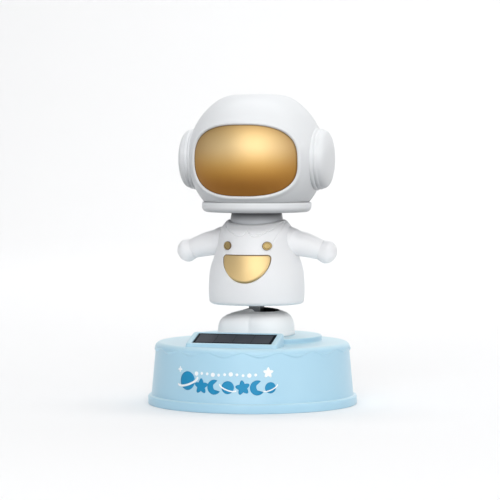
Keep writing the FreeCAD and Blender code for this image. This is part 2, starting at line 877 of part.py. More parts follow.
def make_torso():
    """Front and back shells, neck sleeve, hanger, arms, pocket inlay and buttons."""
    outer = bell("bell_outer", 0)
    inner = bell("bell_inner", -S.body_wall, 0.6)
    skin = boolean("Cut", "torso_skin", outer, inner)
    y0 = S.figure_y
    front_half = box("front_half", (-30, y0 - 30, 20), (30, y0, 80))
    back_half = box("back_half", (-30, y0, 20), (30, y0 + 30, 80))
    sockets = [arm_socket(side) for side in (-1, 1)]
    bosses = [
        along_y(f"hanger_boss_{side}", 1.5, -12.4, HANGER_FRONT, side * HANGER_SCREW_X, S.torso_pin_height)
        for side in (-1, 1)
    ]
    pilots = [
        along_y(f"hanger_pilot_{side}", 0.55, -10.6, -6, side * HANGER_SCREW_X, S.torso_pin_height)
        for side in (-1, 1)
    ]
    boss_pair = boolean("Fuse", "boss_pair", *bosses)
    boss_trim = boolean("Common", "bosses_trimmed", boss_pair, bell("bell_trim", -0.6))
    front = boolean("Fuse", "front_with_bosses", boolean("Common", "front_skin", skin, front_half), boss_trim)
    recess = boolean("Cut", "pocket_recess", pocket_outline("pocket_cutter", 0.06), bell("bell_recess", -0.5))
    neckline = outline_block("neckline", NECKLINE_HALF_WIDTH, NECKLINE_RUN, NECKLINE_HEIGHT)
    place(neckline, 0, y0, S.torso_bottom + NECKLINE, X_AXIS, NECKLINE_TILT)
    keep(boolean("Cut", "front_shell", front, recess, neckline, *pilots, *sockets), "torso_front")
    back = boolean("Common", "back_skin", skin, back_half)
    keep(boolean("Cut", "back_shell", back, *[arm_socket(side) for side in (-1, 1)]), "torso_back")
    inlay_skin = boolean("Cut", "inlay_skin", bell("bell_inlay", 0.3), bell("bell_inlay_back", -0.48))
    keep(boolean("Common", "inlay", inlay_skin, pocket_outline("pocket_shape", 0)), "pocket_inlay")
    button_skin = boolean("Cut", "button_skin", bell("bell_button", 0.65), bell("bell_button_back", 0.02))
    discs = [
        along_y(f"button_disc_{side}", S.button_radius, -20, -5, side * S.button_x, S.button_z)
        for side in (-1, 1)
    ]
    keep(boolean("Common", "buttons", button_skin, boolean("Fuse", "button_discs", *discs)), "chest_buttons")
    make_neck_sleeve()
    make_hanger()
    for side, name in ((-1, "right_arm"), (1, "left_arm")):
        make_arm(side, name)


def make_neck_sleeve():
    """The conical sleeve that stands up from the collar opening towards the helmet."""
    wall = 1.1
    foot, step, top = Size(61.8), Size(62.8), S.neck_top
    inside = S.neck_radius - wall
    sleeve = spun(
        "sleeve_cone",
        [
            (S.neck_radius, foot),
            (S.neck_radius, step),
            (S.neck_top_radius, top),
            (S.neck_top_radius - wall, top),
            (inside, step),
            (inside, foot),
        ],
    )
    place(sleeve, 0, S.figure_y, 0)
    disc = boolean(
        "Cut",
        "sleeve_disc",
        cylinder("sleeve_disc_blank", 14, step - foot, 0, S.figure_y, foot),
        cylinder("sleeve_disc_bore", inside + 0.5, 10, 0, S.figure_y, foot - 1),
    )
    flange = boolean("Common", "sleeve_flange", disc, bell("bell_neck", -S.body_wall - 0.01, 0.6))
    keep(boolean("Fuse", "sleeve", sleeve, flange), "neck_sleeve")


HANGER_FRONT = -7.2
HANGER_BACK = -4.5
HANGER_SCREW_X = 6.2


def make_hanger():
    """The cross bar that hangs the torso on its pin, screwed to two bosses of the front shell."""
    y0 = S.figure_y
    z = S.torso_pin_height
    bar = box("hanger_bar", (-8.2, y0 + HANGER_FRONT, z - 1.1), (8.2, y0 + HANGER_BACK, z + 1.1))
    hub = along_y("hanger_hub", 2.6, HANGER_FRONT, HANGER_BACK, 0, z)
    bore = along_y("hanger_bore", S.pin_radius + S.running_gap, -9, -2, 0, z)
    holes = [along_y(f"hanger_hole_{side}", 0.75, -9, -2, side * HANGER_SCREW_X, z) for side in (-1, 1)]
    keep(boolean("Cut", "hanger", boolean("Fuse", "hanger_solid", bar, hub), bore, *holes), "torso_hanger")
    screws = [
        screw(
            f"hanger_screw_{side}",
            0.5,
            1.1,
            4.9,
            0.35,
            side * HANGER_SCREW_X,
            y0 + HANGER_BACK + 0.645,
            z,
            X_AXIS,
            90,
        )
        for side in (-1, 1)
    ]
    keep(group("hanger_screw_set", screws), "hanger_screws")


def arm_axis(thing, side, start=0.0):
    """Lays a thing turned about +Z along the arm: out to one side and drooping."""
    droop = math.radians(float(S.arm_droop))
    out, down = math.cos(droop), math.sin(droop)
    x = side * (S.arm_root_x + start * out)
    z = S.arm_height - start * down
    place(thing, x, S.figure_y, z)
    thing.Placement.Rotation = FreeCAD.Rotation(Y_AXIS, side * (90 + float(S.arm_droop)))
    return thing


def arm_socket(side):
    return arm_axis(cylinder(f"arm_socket_{side}_{len(doc.Objects)}", 2.3, 8), side)


def make_arm(side, label):
    """One arm with its mitten in one moulding, trimmed to the torso, with a plug that fills the socket."""
    body = new_body(label + "_body")
    wrist = 14.0
    profile = [
        (0, 0),
        (S.arm_radius, 0),
        (S.arm_radius, 5.0),
        (S.wrist_radius, wrist),
        (S.wrist_radius - 0.25, wrist + 0.2),
        (S.hand_radius - 0.35, wrist + 0.6),
        (S.hand_radius, wrist + 2.4),
        (S.hand_radius - 0.15, wrist + 4.2),
        (S.hand_radius - 1.3, S.arm_length - 0.9),
        (0, S.arm_length),
    ]
    revolve(body, label + "_turn", outline(body, label + "_section", "XZ_Plane", profile))
    arm_axis(body, side)
    trimmed = boolean("Cut", label + "_trimmed", body, bell(f"{label}_bell", 0.02))
    plug = arm_axis(cylinder(label + "_plug", 2.2, 6.0), side, 1.2)
    reach = boolean("Cut", label + "_plug_cut", plug, bell(f"{label}_bell_in", -S.body_wall - 1.0))
    keep(boolean("Fuse", label + "_solid", trimmed, reach), label)


# ---------------------------------------------------------------- helmet
def visor_wire(name, grow):
    """A solid through the helmet's face with the visor's rounded outline, grown by an amount."""
    power = 2.73
    half_x, half_z = float(S.visor_half_width) + grow, float(S.visor_half_height) + grow
    steps = 32
    points = []
    for i in range(steps):
        t = 2 * math.pi * i / steps
        c, s = math.cos(t), math.sin(t)
        x = half_x * math.copysign(abs(c) ** (2 / power), c)
        z = half_z * math.copysign(abs(s) ** (2 / power), s)
        points.append(V(x, 0, z))
    curve = Part.BSplineCurve()
    curve.interpolate(points, True)
    solid = doc.addObject("Part::Feature", name)
    solid.Shape = Part.Face(Part.Wire([curve.toShape()])).extrude(V(0, -40, 0))
    return place(solid, 0, S.figure_y, S.visor_centre)


def ball(name, radius):
    """A sphere about the helmet's centre."""
    solid = doc.addObject("Part::Sphere", name)
    bind(solid, "Radius", radius)
    return place(solid, 0, S.figure_y, S.helmet_height)


def make_helmet():
    """Two shell halves, the visor behind its opening, the collar, and the ear pods."""
    y0 = S.figure_y
    wall = S.helmet_wall
    far = 40
    outer = boolean(
        "Common",
        "helmet_outer",
        ball("helmet_ball", S.helmet_radius),
        box("helmet_band", (-far, -far, S.collar_top), (far, far, S.helmet_top)),
    )
    inner = boolean(
        "Common",
        "helmet_inner",
        ball("helmet_hollow", S.helmet_radius - wall),
        box("helmet_hollow_band", (-far, -far, S.collar_top - 2), (far, far, S.helmet_top - wall)),
    )
    skin = boolean("Cut", "helmet_skin", outer, inner)
    plug_holes = [pod_plug(side, 2.6, f"pod_hole_{side}") for side in (-1, 1)]
    pierced = boolean("Cut", "helmet_pierced", skin, *plug_holes)
    front_half = box("helmet_front_half", (-far, y0 - far, 60), (far, y0, 120))
    back_half = box("helmet_back_half", (-far, y0, 60), (far, y0 + far, 120))
    front = boolean("Common", "helmet_front_skin", pierced, front_half)
    keep(boolean("Cut", "helmet_front_shell", front, visor_wire("visor_opening", 0)), "helmet_front")
    keep(boolean("Common", "helmet_back_skin", pierced, back_half), "helmet_back")
    make_visor()
    make_collar()
    for side, label in ((-1, "right_ear_pod"), (1, "left_ear_pod")):
        make_pod(side, label)


def make_visor():
    """The domed visor: a pane just smaller than the opening, on a lip that is glued behind the shell."""
    pane_radius = S.helmet_radius - S.visor_recess
    lip_radius = S.helmet_radius - S.helmet_wall - 0.05
    back = ball("visor_back", pane_radius - S.visor_thickness - 0.6)
    pane = boolean("Common", "visor_pane", ball("visor_face", pane_radius), visor_wire("visor_shape", -0.12))
    lip_face = ball("visor_lip_face", lip_radius)
    lip = boolean("Common", "visor_lip", lip_face, visor_wire("visor_lip_shape", 1.3))
    keep(boolean("Cut", "visor_solid", boolean("Fuse", "visor_blank", pane, lip), back), "visor")


def make_collar():
    """The neck ring under the helmet: a channel, open upwards, with the hole that the neck stands in."""
    rim, hole = S.collar_radius, S.collar_hole_radius
    low, high = S.collar_bottom, S.collar_top
    body = spun(
        "collar_body",
        [
            (hole, low),
            (rim, low),
            (rim, high),
            (rim - 1.5, high),
            (rim - 1.5, low + 2.2),
            (rim - 2.3, low + 1.4),
            (hole + 1.4, low + 1.4),
            (hole + 1.4, high),
            (hole, high),
        ],
    )
    round_edges(body, "collar_low_round", 2.0, ring_edge(rim, low))
    round_edges(body, "collar_high_round", 0.7, ring_edge(rim, high))
    place(body, 0, S.figure_y, 0)
    floor = low + 1.2
    bosses, pilots = [], []
    for side in (-1, 1):
        x = side * YOKE_SCREW_X
        bosses.append(cylinder(f"yoke_boss_{side}", 1.9, high - floor, x, COIL_Y, floor))
        pilots.append(cylinder(f"yoke_pilot_{side}", 0.6, high, x, COIL_Y, floor + 0.4))
    solid = boolean("Fuse", "collar_solid", body, *bosses)
    keep(boolean("Cut", "collar", solid, *pilots), "helmet_collar")


def pod_plug(side, radius, name):
    start = S.helmet_radius - 3.2
    solid = cylinder(name, radius, 3.8, side * start, S.figure_y, S.pod_height)
    solid.Placement.Rotation = FreeCAD.Rotation(Y_AXIS, side * 90)
    return solid


def make_pod(side, label):
    """One ear pod: a stepped disc seated on the helmet's side, with a plug."""
    reach = S.pod_reach
    body = new_body(label + "_body")
    rim = S.pod_radius
    section = [
        (0, 18.0),
        (rim, 18.0),
        (rim, reach - 3.8),
        (rim - 0.6, reach - 3.5),
        (rim - 0.35, reach - 3.3),
        (rim - 0.35, reach - 2.5),
        (rim - 0.9, reach - 2.2),
        (rim - 0.9, reach - 1.3),
        (rim - 1.5, reach - 0.6),
        (rim - 2.8, reach - 0.15),
        (0, reach),
    ]
    revolve(body, label + "_turn", outline(body, label + "_section", "XZ_Plane", section))
    place(body, 0, S.figure_y, S.pod_height)
    body.Placement.Rotation = FreeCAD.Rotation(Y_AXIS, side * 90)
    seated = boolean("Cut", label + "_seated", body, ball(f"{label}_seat", S.helmet_radius + 0.02))
    plug = pod_plug(side, 2.5, label + "_plug")
    keep(boolean("Fuse", label + "_solid", seated, plug), label)


# ---------------------------------------------------------------- helmet lever
YOKE_HALF = 16.6
YOKE_SCREW_X = 15.3
CUP_TOP = S.magnet_bottom + S.magnet_height + 1.0
SOCKET_TOP = Size(18.9)
WEIGHT_HALF = 4.4
WEIGHT_FRONT = S.figure_y + 0.1
WEIGHT_BACK = S.figure_y + 2.8
WEIGHT_LOW = Size(15.2)
WEIGHT_HIGH = Size(18.4)


def key_slot(name):
    """The cross slot that the balance weight is pushed through."""
    return box(name, (-6, WEIGHT_FRONT, WEIGHT_LOW), (6, WEIGHT_BACK, WEIGHT_HIGH))


def make_lever():
    """The helmet's lever down into the base, with the magnet holder keyed on by the weight."""
    y0 = S.figure_y
    front, back = y0 - S.lever_front, y0 + S.lever_back
    half = S.post_width / 2
    yoke = box("lever_yoke", (-YOKE_HALF, front, S.collar_top), (YOKE_HALF, back, S.collar_top + 1.8))
    hub = along_y("lever_hub", 2.6, -S.lever_front, S.lever_back, 0, S.head_pin_height)
    blade = box("lever_blade", (-half, front, CUP_TOP), (half, back, S.collar_top + 1))
    bore = along_y("lever_bore", S.pin_radius + S.running_gap, -3, 6, 0, S.head_pin_height)
    screw_holes = [
        cylinder(f"yoke_hole_{side}", 0.75, 4, side * YOKE_SCREW_X, COIL_Y, S.collar_top - 1)
        for side in (-1, 1)
    ]
    solid = boolean("Fuse", "lever_solid", yoke, hub, blade)
    keep(boolean("Cut", "lever", solid, bore, key_slot("blade_slot"), *screw_holes), "head_lever")
    cup = cylinder("magnet_cup", S.magnet_radius + 1.0, CUP_TOP - S.magnet_bottom, 0, COIL_Y, S.magnet_bottom)
    wall, slip = 1.2, 0.03
    socket = box(
        "holder_socket",
        (-half - wall, front - wall, CUP_TOP - 0.5),
        (half + wall, back + wall, SOCKET_TOP),
    )
    well = box(
        "holder_well",
        (-half - slip, front - slip, CUP_TOP),
        (half + slip, back + slip, SOCKET_TOP + 1),
    )
    seat = cylinder("magnet_seat", S.magnet_radius + 0.02, S.magnet_height, 0, COIL_Y, S.magnet_bottom)
    holder = boolean("Fuse", "holder_solid", cup, socket)
    keep(boolean("Cut", "holder", holder, well, seat, key_slot("holder_slot")), "magnet_holder")
    keep(cylinder("magnet", S.magnet_radius, S.magnet_height, 0, COIL_Y, S.magnet_bottom), "drive_magnet")
    weight = box(
        "weight_block",
        (-WEIGHT_HALF, WEIGHT_FRONT + 0.02, WEIGHT_LOW),
        (WEIGHT_HALF, WEIGHT_BACK - 0.02, WEIGHT_HIGH - 0.04),
    )
    keep(weight, "balance_weight")
    head_drop = 1.8 + 0.735
    screws = [
        screw(
            f"yoke_screw_{side}",
            0.6,
            1.3,
            4.4,
            0.4,
            side * YOKE_SCREW_X,
            COIL_Y,
            S.collar_top + head_drop,
            X_AXIS,
            180,
        )
        for side in (-1, 1)
    ]
    keep(group("yoke_screw_set", screws), "yoke_screws")


# ---------------------------------------------------------------- build and write
def write_parts():
    """Checks every object and writes one STEP file for each sub-part."""
    doc.recompute()
    failed = [o.Name for o in doc.Objects if {"Invalid", "Error"} & set(o.State)]
    if failed:
        raise SystemExit(f"failed objects: {failed}")
    os.makedirs("parts", exist_ok=True)
    for old in os.listdir("parts"):
        if old.endswith(".step"):
            os.remove(os.path.join("parts", old))
    for thing in made:
        shape = thing.Shape
        if shape.isNull() or not shape.isValid():
            raise SystemExit(f"{thing.Label}: the shape is null or invalid")
        if not shape.Solids:
            raise SystemExit(f"{thing.Label}: no solid")
        shape.exportStep(f"parts/{thing.Label}.step")
        print(f"{thing.Label}: {len(shape.Solids)} solids, {shape.Volume:.1f} mm3")


make_base_housing()
make_base_cover()
make_cover_screws()
make_solar_cell()
make_drive()
make_support_post()
make_pins()
make_shoes()
make_torso()
make_helmet()
make_lever()
write_parts()
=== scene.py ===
"""Visual model of the solar swaying astronaut figure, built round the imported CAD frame.

Lengths in this script are millimetres and are turned into metres when a mesh or a light is made.
+Z is up, the front of the figure faces -Y, and the figure's own axis stands at FIGURE_Y.
"""
import math

import bmesh
import bpy
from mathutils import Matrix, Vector


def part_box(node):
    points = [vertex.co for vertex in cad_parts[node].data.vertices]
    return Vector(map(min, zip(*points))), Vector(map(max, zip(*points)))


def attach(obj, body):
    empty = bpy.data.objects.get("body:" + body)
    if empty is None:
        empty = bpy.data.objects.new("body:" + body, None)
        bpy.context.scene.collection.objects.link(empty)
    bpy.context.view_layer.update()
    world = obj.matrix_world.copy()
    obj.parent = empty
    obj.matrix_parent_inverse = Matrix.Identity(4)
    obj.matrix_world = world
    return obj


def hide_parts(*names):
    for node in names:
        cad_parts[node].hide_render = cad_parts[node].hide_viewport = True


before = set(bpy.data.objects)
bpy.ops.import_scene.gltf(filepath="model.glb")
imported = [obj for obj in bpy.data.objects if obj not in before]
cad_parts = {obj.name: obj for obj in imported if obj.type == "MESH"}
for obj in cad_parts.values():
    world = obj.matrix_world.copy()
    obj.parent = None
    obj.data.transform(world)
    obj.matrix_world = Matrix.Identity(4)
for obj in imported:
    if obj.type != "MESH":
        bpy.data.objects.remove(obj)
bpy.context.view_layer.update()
MM = 0.001


# ---------------------------------------------------------------- places, from the frame
def cad_box(node):
    """Lowest and highest corners of a CAD node, in millimetres."""
    low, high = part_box(node)
    return low / MM, high / MM


HOUSING_HIGH = cad_box("base_housing")[1]
SHOES_LOW = cad_box("shoes")[0]
TORSO_LOW = cad_box("torso_front")[0]
HELMET_HIGH = cad_box("helmet_back")[1]
COLLAR_LOW, COLLAR_HIGH = cad_box("helmet_collar")
SLEEVE_LOW, SLEEVE_HIGH = cad_box("neck_sleeve")
POD_LOW, POD_HIGH = cad_box("left_ear_pod")
BUTTONS_LOW, BUTTONS_HIGH = cad_box("chest_buttons")
POCKET_LOW, POCKET_HIGH = cad_box("pocket_inlay")

FIGURE_Y = (COLLAR_LOW.y + COLLAR_HIGH.y) / 2
FLANGE_R = HOUSING_HIGH.x
PLATFORM_TOP = SHOES_LOW.z
PLATFORM_H = 1.9
DECK_Z = PLATFORM_TOP - PLATFORM_H
HEM_Z = TORSO_LOW.z
HELMET_R = HELMET_HIGH.x
HELMET_TOP = HELMET_HIGH.z
HELMET_RISE = 22.4
HELMET_Z = HELMET_TOP - HELMET_RISE


# ---------------------------------------------------------------- mesh helpers
def mesh_object(name, points, faces, material):
    """A smooth-shaded mesh piece from points in millimetres."""
    mesh = bpy.data.meshes.new(name)
    mesh.from_pydata([Vector(p) * MM for p in points], [], faces)
    mesh.validate()
    piece = bpy.data.objects.new(name, mesh)
    bpy.context.scene.collection.objects.link(piece)
    mesh.polygons.foreach_set("use_smooth", [True] * len(mesh.polygons))
    mesh.materials.append(material)
    return piece


def loops_mesh(name, loops, material, ring=True, shut=True, caps=()):
    """Quads between neighbouring loops of equal length. ring joins each loop's ends, shut joins the last loop
    to the first, and caps closes the first or last loop with a fan to a point: ((0, point), (-1, point))."""
    count = len(loops[0])
    points = [p for loop in loops for p in loop]
    faces = []
    rows = len(loops)
    for i in range(rows if shut else rows - 1):
        j = (i + 1) % rows
        for k in range(count if ring else count - 1):
            m = (k + 1) % count
            faces.append((i * count + k, i * count + m, j * count + m, j * count + k))
    for which, point in caps:
        first = 0 if which == 0 else (rows - 1) * count
        centre = len(points)
        points.append(point)
        for k in range(count):
            m = (k + 1) % count
            face = (first + m, first + k, centre)
            faces.append(face if which == 0 else face[::-1])
    piece = mesh_object(name, points, faces, material)
    make_outward(piece)
    return piece


def make_outward(piece):
    """Turns the faces outward if the signed volume comes out negative."""
    mesh = piece.data
    volume = 0.0
    for polygon in mesh.polygons:
        corners = [mesh.vertices[v].co for v in polygon.vertices]
        for b, c in zip(corners[1:], corners[2:]):
            volume += corners[0].dot(b.cross(c))
    if volume < 0:
        mesh.flip_normals()


def finished(piece, body, slot, *nodes):
    """Rides on a body and stands for CAD nodes, which it hides. slot is not used."""
    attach(piece, body)
    if nodes:
        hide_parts(*nodes)
    return piece


def skin(name, loops, material, body, slot, *nodes, **closing):
    """A finished piece made of loops. closing is what loops_mesh takes: ring, shut and caps."""
    return finished(loops_mesh(name, loops, material, **closing), body, slot, *nodes)


def lerp(a, b, t):
    """The value a share t of the way from a to b."""
    return a + (b - a) * t


def smooth_step(edge_a, edge_b, x):
    """0 before edge_a, 1 after edge_b, and smooth between."""
    t = min(max((x - edge_a) / (edge_b - edge_a), 0.0), 1.0)
    return t * t * (3 - 2 * t)


def turns_of(count):
    """Angles of that many equal steps round a full turn."""
    return [2 * math.pi * k / count for k in range(count)]


def arc(centre_a, centre_b, radius, start, end, steps):
    """Points (a, b) of an arc in a section plane, angles in degrees."""
    return [
        (
            centre_a + radius * math.cos(math.radians(lerp(start, end, i / steps))),
            centre_b + radius * math.sin(math.radians(lerp(start, end, i / steps))),
        )
        for i in range(steps + 1)
    ]


def line(a, b, steps):
    """Points from a to b without b."""
    return [(lerp(a[0], b[0], i / steps), lerp(a[1], b[1], i / steps)) for i in range(steps)]


def curve_through(rows, x):
    """The values at x on a smooth curve through (x, value, ...) rows, by cubic Hermite pieces."""
    width = len(rows[0]) - 1
    if x <= rows[0][0]:
        return rows[0][1:]
    if x >= rows[-1][0]:
        return rows[-1][1:]

    def slope(i, c):
        """The curve's slope at a row, level where the values turn back."""
        if i == 0 or i == len(rows) - 1:
            j = min(i, len(rows) - 2)
            return (rows[j + 1][c] - rows[j][c]) / (rows[j + 1][0] - rows[j][0])
        before = (rows[i][c] - rows[i - 1][c]) / (rows[i][0] - rows[i - 1][0])
        after = (rows[i + 1][c] - rows[i][c]) / (rows[i + 1][0] - rows[i][0])
        if before * after <= 0:
            return 0.0
        return 2 * before * after / (before + after)

    for i in range(len(rows) - 1):
        if rows[i][0] <= x <= rows[i + 1][0]:
            h = rows[i + 1][0] - rows[i][0]
            t = (x - rows[i][0]) / h
            out = []
            for c in range(1, width + 1):
                a, b = rows[i][c], rows[i + 1][c]
                ma, mb = slope(i, c) * h, slope(i + 1, c) * h
                out.append(
                    (2 * t**3 - 3 * t**2 + 1) * a
                    + (t**3 - 2 * t**2 + t) * ma
                    + (-2 * t**3 + 3 * t**2) * b
                    + (t**3 - t**2) * mb
                )
            return tuple(out)


def ring_point(radius, angle, centre_y, z):
    """A point of a level circle, its angle counted from the front."""
    return (radius * math.sin(angle), centre_y - radius * math.cos(angle), z)


def lathe_z(section, count):
    """The loops of a closed (radius, z) section turned about the figure's own axis."""
    return [[ring_point(radius, t, FIGURE_Y, z) for t in turns_of(count)] for radius, z in section]


# ---------------------------------------------------------------- materials
def add_node(tree, kind, **inputs):
    """A new shader node with some inputs set. An underscore stands for a space in an input's name."""
    node = tree.nodes.new("ShaderNode" + kind)
    for name, value in inputs.items():
        node.inputs[name.replace("_", " ")].default_value = value
    return node


def principled(name, color, roughness, metallic=0.0, coat=0.0, subsurface=0.0, ior=1.46):
    """A new material with a Principled shader. Returns the material, its node tree and the shader."""
    material = bpy.data.materials.new(name)
    material.use_nodes = True
    shader = material.node_tree.nodes["Principled BSDF"]
    for socket, value in (
        ("Base Color", (*color, 1.0)),
        ("Roughness", roughness),
        ("Metallic", metallic),
        ("Coat Weight", coat),
        ("Coat Roughness", 0.12),
        ("IOR", ior),
        ("Subsurface Weight", subsurface),
        ("Subsurface Radius", (0.0025, 0.0022, 0.002)),
        ("Subsurface Scale", 1.0),
    ):
        shader.inputs[socket].default_value = value
    return material, material.node_tree, shader


def noise(tree, scale, detail, rough=0.5):
    """Noise in object space, its scale counted per metre."""
    place = add_node(tree, "TexCoord")
    texture = add_node(tree, "TexNoise", Scale=scale, Detail=detail, Roughness=rough)
    tree.links.new(place.outputs["Object"], texture.inputs["Vector"])
    return texture.outputs["Fac"]


def axes(tree, output):
    """The X, Y and Z sockets of an output of the texture coordinates."""
    place = add_node(tree, "TexCoord")
    split = add_node(tree, "SeparateXYZ")
    tree.links.new(place.outputs[output], split.inputs["Vector"])
    return split.outputs


def between(tree, source, low, high, color_a, color_b):
    """A colour ramp on a value."""
    ramp = add_node(tree, "ValToRGB")
    for i, (position, color) in enumerate(((low, color_a), (high, color_b))):
        ramp.color_ramp.elements[i].position = position
        ramp.color_ramp.elements[i].color = (*color, 1.0)
    tree.links.new(source, ramp.inputs["Fac"])
    return ramp.outputs["Color"]


def ranged(tree, source, **limits):
    """A value brought from one range into another. A limit that isn't given is 0 or 1."""
    node = add_node(tree, "MapRange", **limits)
    tree.links.new(source, node.inputs["Value"])
    return node.outputs["Result"]


def uneven_gloss(tree, shader, source, low, high):
    """Lets the shader's roughness wander between two values."""
    tree.links.new(ranged(tree, source, To_Min=low, To_Max=high), shader.inputs["Roughness"])


def bump(tree, shader, source, strength, distance):
    """A bump of that height, in metres, on the shader's normal."""
    node = add_node(tree, "Bump", Strength=strength, Distance=distance)
    tree.links.new(source, node.inputs["Height"])
    tree.links.new(node.outputs["Normal"], shader.inputs["Normal"])


def blend_color(tree, factor, base, tint):
    """Mixes a fixed tint over a colour by a factor."""
    mix = add_node(tree, "Mix")
    mix.data_type = "RGBA"
    color_a, color_b = (socket for socket in mix.inputs if socket.type == "RGBA")
    color_b.default_value = (*tint, 1.0)
    tree.links.new(base, color_a)
    tree.links.new(factor, mix.inputs["Factor"])
    return next(socket for socket in mix.outputs if socket.type == "RGBA")


def math_node(tree, operation, a, b=0.0):
    """A Math node on two inputs, each a socket or a number."""
    node = add_node(tree, "Math")
    node.operation = operation
    for socket, value in zip(node.inputs, (a, b)):
        if isinstance(value, (int, float)):
            socket.default_value = value
        else:
            tree.links.new(value, socket)
    return node.outputs[0]


def moulded_plastic(name, color, shade, roughness, grain=0.000004, subsurface=0.0, tinted=None):
    """Injection-moulded plastic: faint cloudiness in the colour, uneven gloss and a very fine eroded grain.
    tinted is (output, low, high, tint, most): as that coordinate's Z goes from low to high, the tint is
    mixed in from nothing to most; this paints light or shade into the colour."""
    material, tree, shader = principled(name, color, roughness, subsurface=subsurface)
    mottled = between(tree, noise(tree, 55.0, 2.0), 0.3, 0.72, shade, color)
    if tinted:
        output, low, high, tint, most = tinted
        amount = ranged(tree, axes(tree, output)["Z"], From_Min=low, From_Max=high, To_Max=most)
        mottled = blend_color(tree, amount, mottled, tint)
    tree.links.new(mottled, shader.inputs["Base Color"])
    gloss = noise(tree, 160.0, 4.0, 0.6)
    uneven_gloss(tree, shader, gloss, roughness - GLOSS_SPREAD, roughness + GLOSS_SPREAD)
    bump(tree, shader, noise(tree, 2600.0, 2.0, 0.55), 0.35, grain)
    return material


def hazy_metal_surface(tree, shader, low, high):
    """The patchy haze and fine orange peel of metallised or painted plastic."""
    uneven_gloss(tree, shader, noise(tree, 220.0, 4.0, 0.6), low, high)
    bump(tree, shader, noise(tree, 3200.0, 2.0), 0.2, 0.000003)


def gold_paint(name, light, dark, roughness):
    """Gold-painted plastic: slight tone drift and hazy patches."""
    material, tree, shader = principled(name, light, roughness, metallic=0.85)
    tone = between(tree, noise(tree, 70.0, 2.0), 0.25, 0.75, dark, light)
    tree.links.new(tone, shader.inputs["Base Color"])
    hazy_metal_surface(tree, shader, roughness - 0.04, roughness + 0.06)
    return material


def outline_share(tree, socket, middle, half):
    """How far out a coordinate is, as a share of the visor's half size, raised to the outline's power."""
    offset = math_node(tree, "SUBTRACT", socket, middle * MM)
    far = math_node(tree, "ABSOLUTE", math_node(tree, "DIVIDE", offset, half * MM))
    return math_node(tree, "POWER", far, VISOR_POWER)


def visor_gold():
    """Gold metal with painted light: amber brown below and pale gold above as a painted reflection, browner
    near the pane's edge as painted shade, and dark at the edge as a painted shadow line.
    """
    material, tree, shader = principled("visor_gold_painted_reflection", (0.6, 0.36, 0.12), 0.46, 0.94)
    place = axes(tree, "Object")
    height = ranged(
        tree,
        place["Z"],
        From_Min=(VISOR_Z - VISOR_HALF_Z) * MM,
        From_Max=(VISOR_Z + VISOR_HALF_Z) * MM,
    )
    # Painted reflection: dark amber low on the pane, pale gold high on it.
    ramp = add_node(tree, "ValToRGB")
    ramp.color_ramp.interpolation = "B_SPLINE"
    ramp.color_ramp.elements[0].color = (0.17, 0.062, 0.011, 1.0)
    ramp.color_ramp.elements[1].color = (0.9, 0.66, 0.3, 1.0)
    for position, color in (
        (0.22, (0.32, 0.135, 0.026, 1.0)),
        (0.45, (0.66, 0.38, 0.09, 1.0)),
        (0.68, (0.92, 0.72, 0.4, 1.0)),
    ):
        stop = ramp.color_ramp.elements.new(position)
        stop.color = color
    tree.links.new(height, ramp.inputs["Fac"])
    total = math_node(
        tree,
        "ADD",
        outline_share(tree, place["X"], 0.0, VISOR_HALF_X),
        outline_share(tree, place["Z"], VISOR_Z, VISOR_HALF_Z),
    )
    # Painted shade: the gold turns browner towards the pane's edge.
    painted_edge_shade = between(tree, total, 0.1, 0.85, (0.0, 0.0, 0.0), (0.5, 0.5, 0.5))
    toned = blend_color(tree, painted_edge_shade, ramp.outputs["Color"], (0.42, 0.2, 0.045))
    # Painted shadow: a dark line along the pane's edge, where it sits under the lip.
    rim = between(tree, total, 0.86, 0.985, (0.0, 0.0, 0.0), (1.0, 1.0, 1.0))
    edged = blend_color(tree, rim, toned, (0.075, 0.04, 0.014))
    tree.links.new(edged, shader.inputs["Base Color"])
    hazy_metal_surface(tree, shader, 0.56, 0.62)
    return material


def worked_metal(name, light, dark, roughness):
    """Turned or drawn metal: fine streaks that run round or along, seen as uneven gloss."""
    material, tree, shader = principled(name, light, roughness, metallic=1.0)
    place = add_node(tree, "TexCoord")
    stretch = add_node(tree, "Mapping", Scale=(1.0, 1.0, 6.0))
    streak = add_node(tree, "TexNoise", Scale=900.0, Detail=3.0)
    tree.links.new(place.outputs["Object"], stretch.inputs["Vector"])
    tree.links.new(stretch.outputs["Vector"], streak.inputs["Vector"])
    tone = between(tree, streak.outputs["Fac"], 0.3, 0.7, dark, light)
    tree.links.new(tone, shader.inputs["Base Color"])
    uneven_gloss(tree, shader, streak.outputs["Fac"], roughness - 0.08, roughness + 0.1)
    bump(tree, shader, streak.outputs["Fac"], 0.25, 0.00001)
    return material


def wound_copper():
    """Enamelled copper wire, wound in layers: fine level ridges round the coil."""
    material, tree, shader = principled("enamelled_copper", (0.6, 0.2, 0.07), 0.3, metallic=1.0, coat=0.5)
    place = add_node(tree, "TexCoord")
    wave = add_node(tree, "TexWave", Scale=1400.0, Distortion=1.2, Detail=2.0)
    wave.bands_direction = "Z"
    tree.links.new(place.outputs["Object"], wave.inputs["Vector"])
    tone = between(tree, wave.outputs["Fac"], 0.1, 0.8, (0.3, 0.08, 0.025), (0.66, 0.24, 0.09))
    tree.links.new(tone, shader.inputs["Base Color"])
    bump(tree, shader, wave.outputs["Fac"], 0.6, 0.00006)
    return material


def solder_mask():
    """Green lacquered board with the faint relief of its tracks."""
    material, tree, shader = principled("green_solder_mask", (0.015, 0.16, 0.05), 0.3, coat=0.4)
    place = add_node(tree, "TexCoord")
    tracks = add_node(tree, "TexVoronoi", Scale=420.0)
    tracks.distance = "CHEBYCHEV"
    tree.links.new(place.outputs["Object"], tracks.inputs["Vector"])
    tone = between(tree, tracks.outputs["Distance"], 0.34, 0.4, (0.012, 0.15, 0.045), (0.03, 0.24, 0.08))
    tree.links.new(tone, shader.inputs["Base Color"])
    bump(tree, shader, tracks.outputs["Distance"], 0.3, 0.00003)
    return material


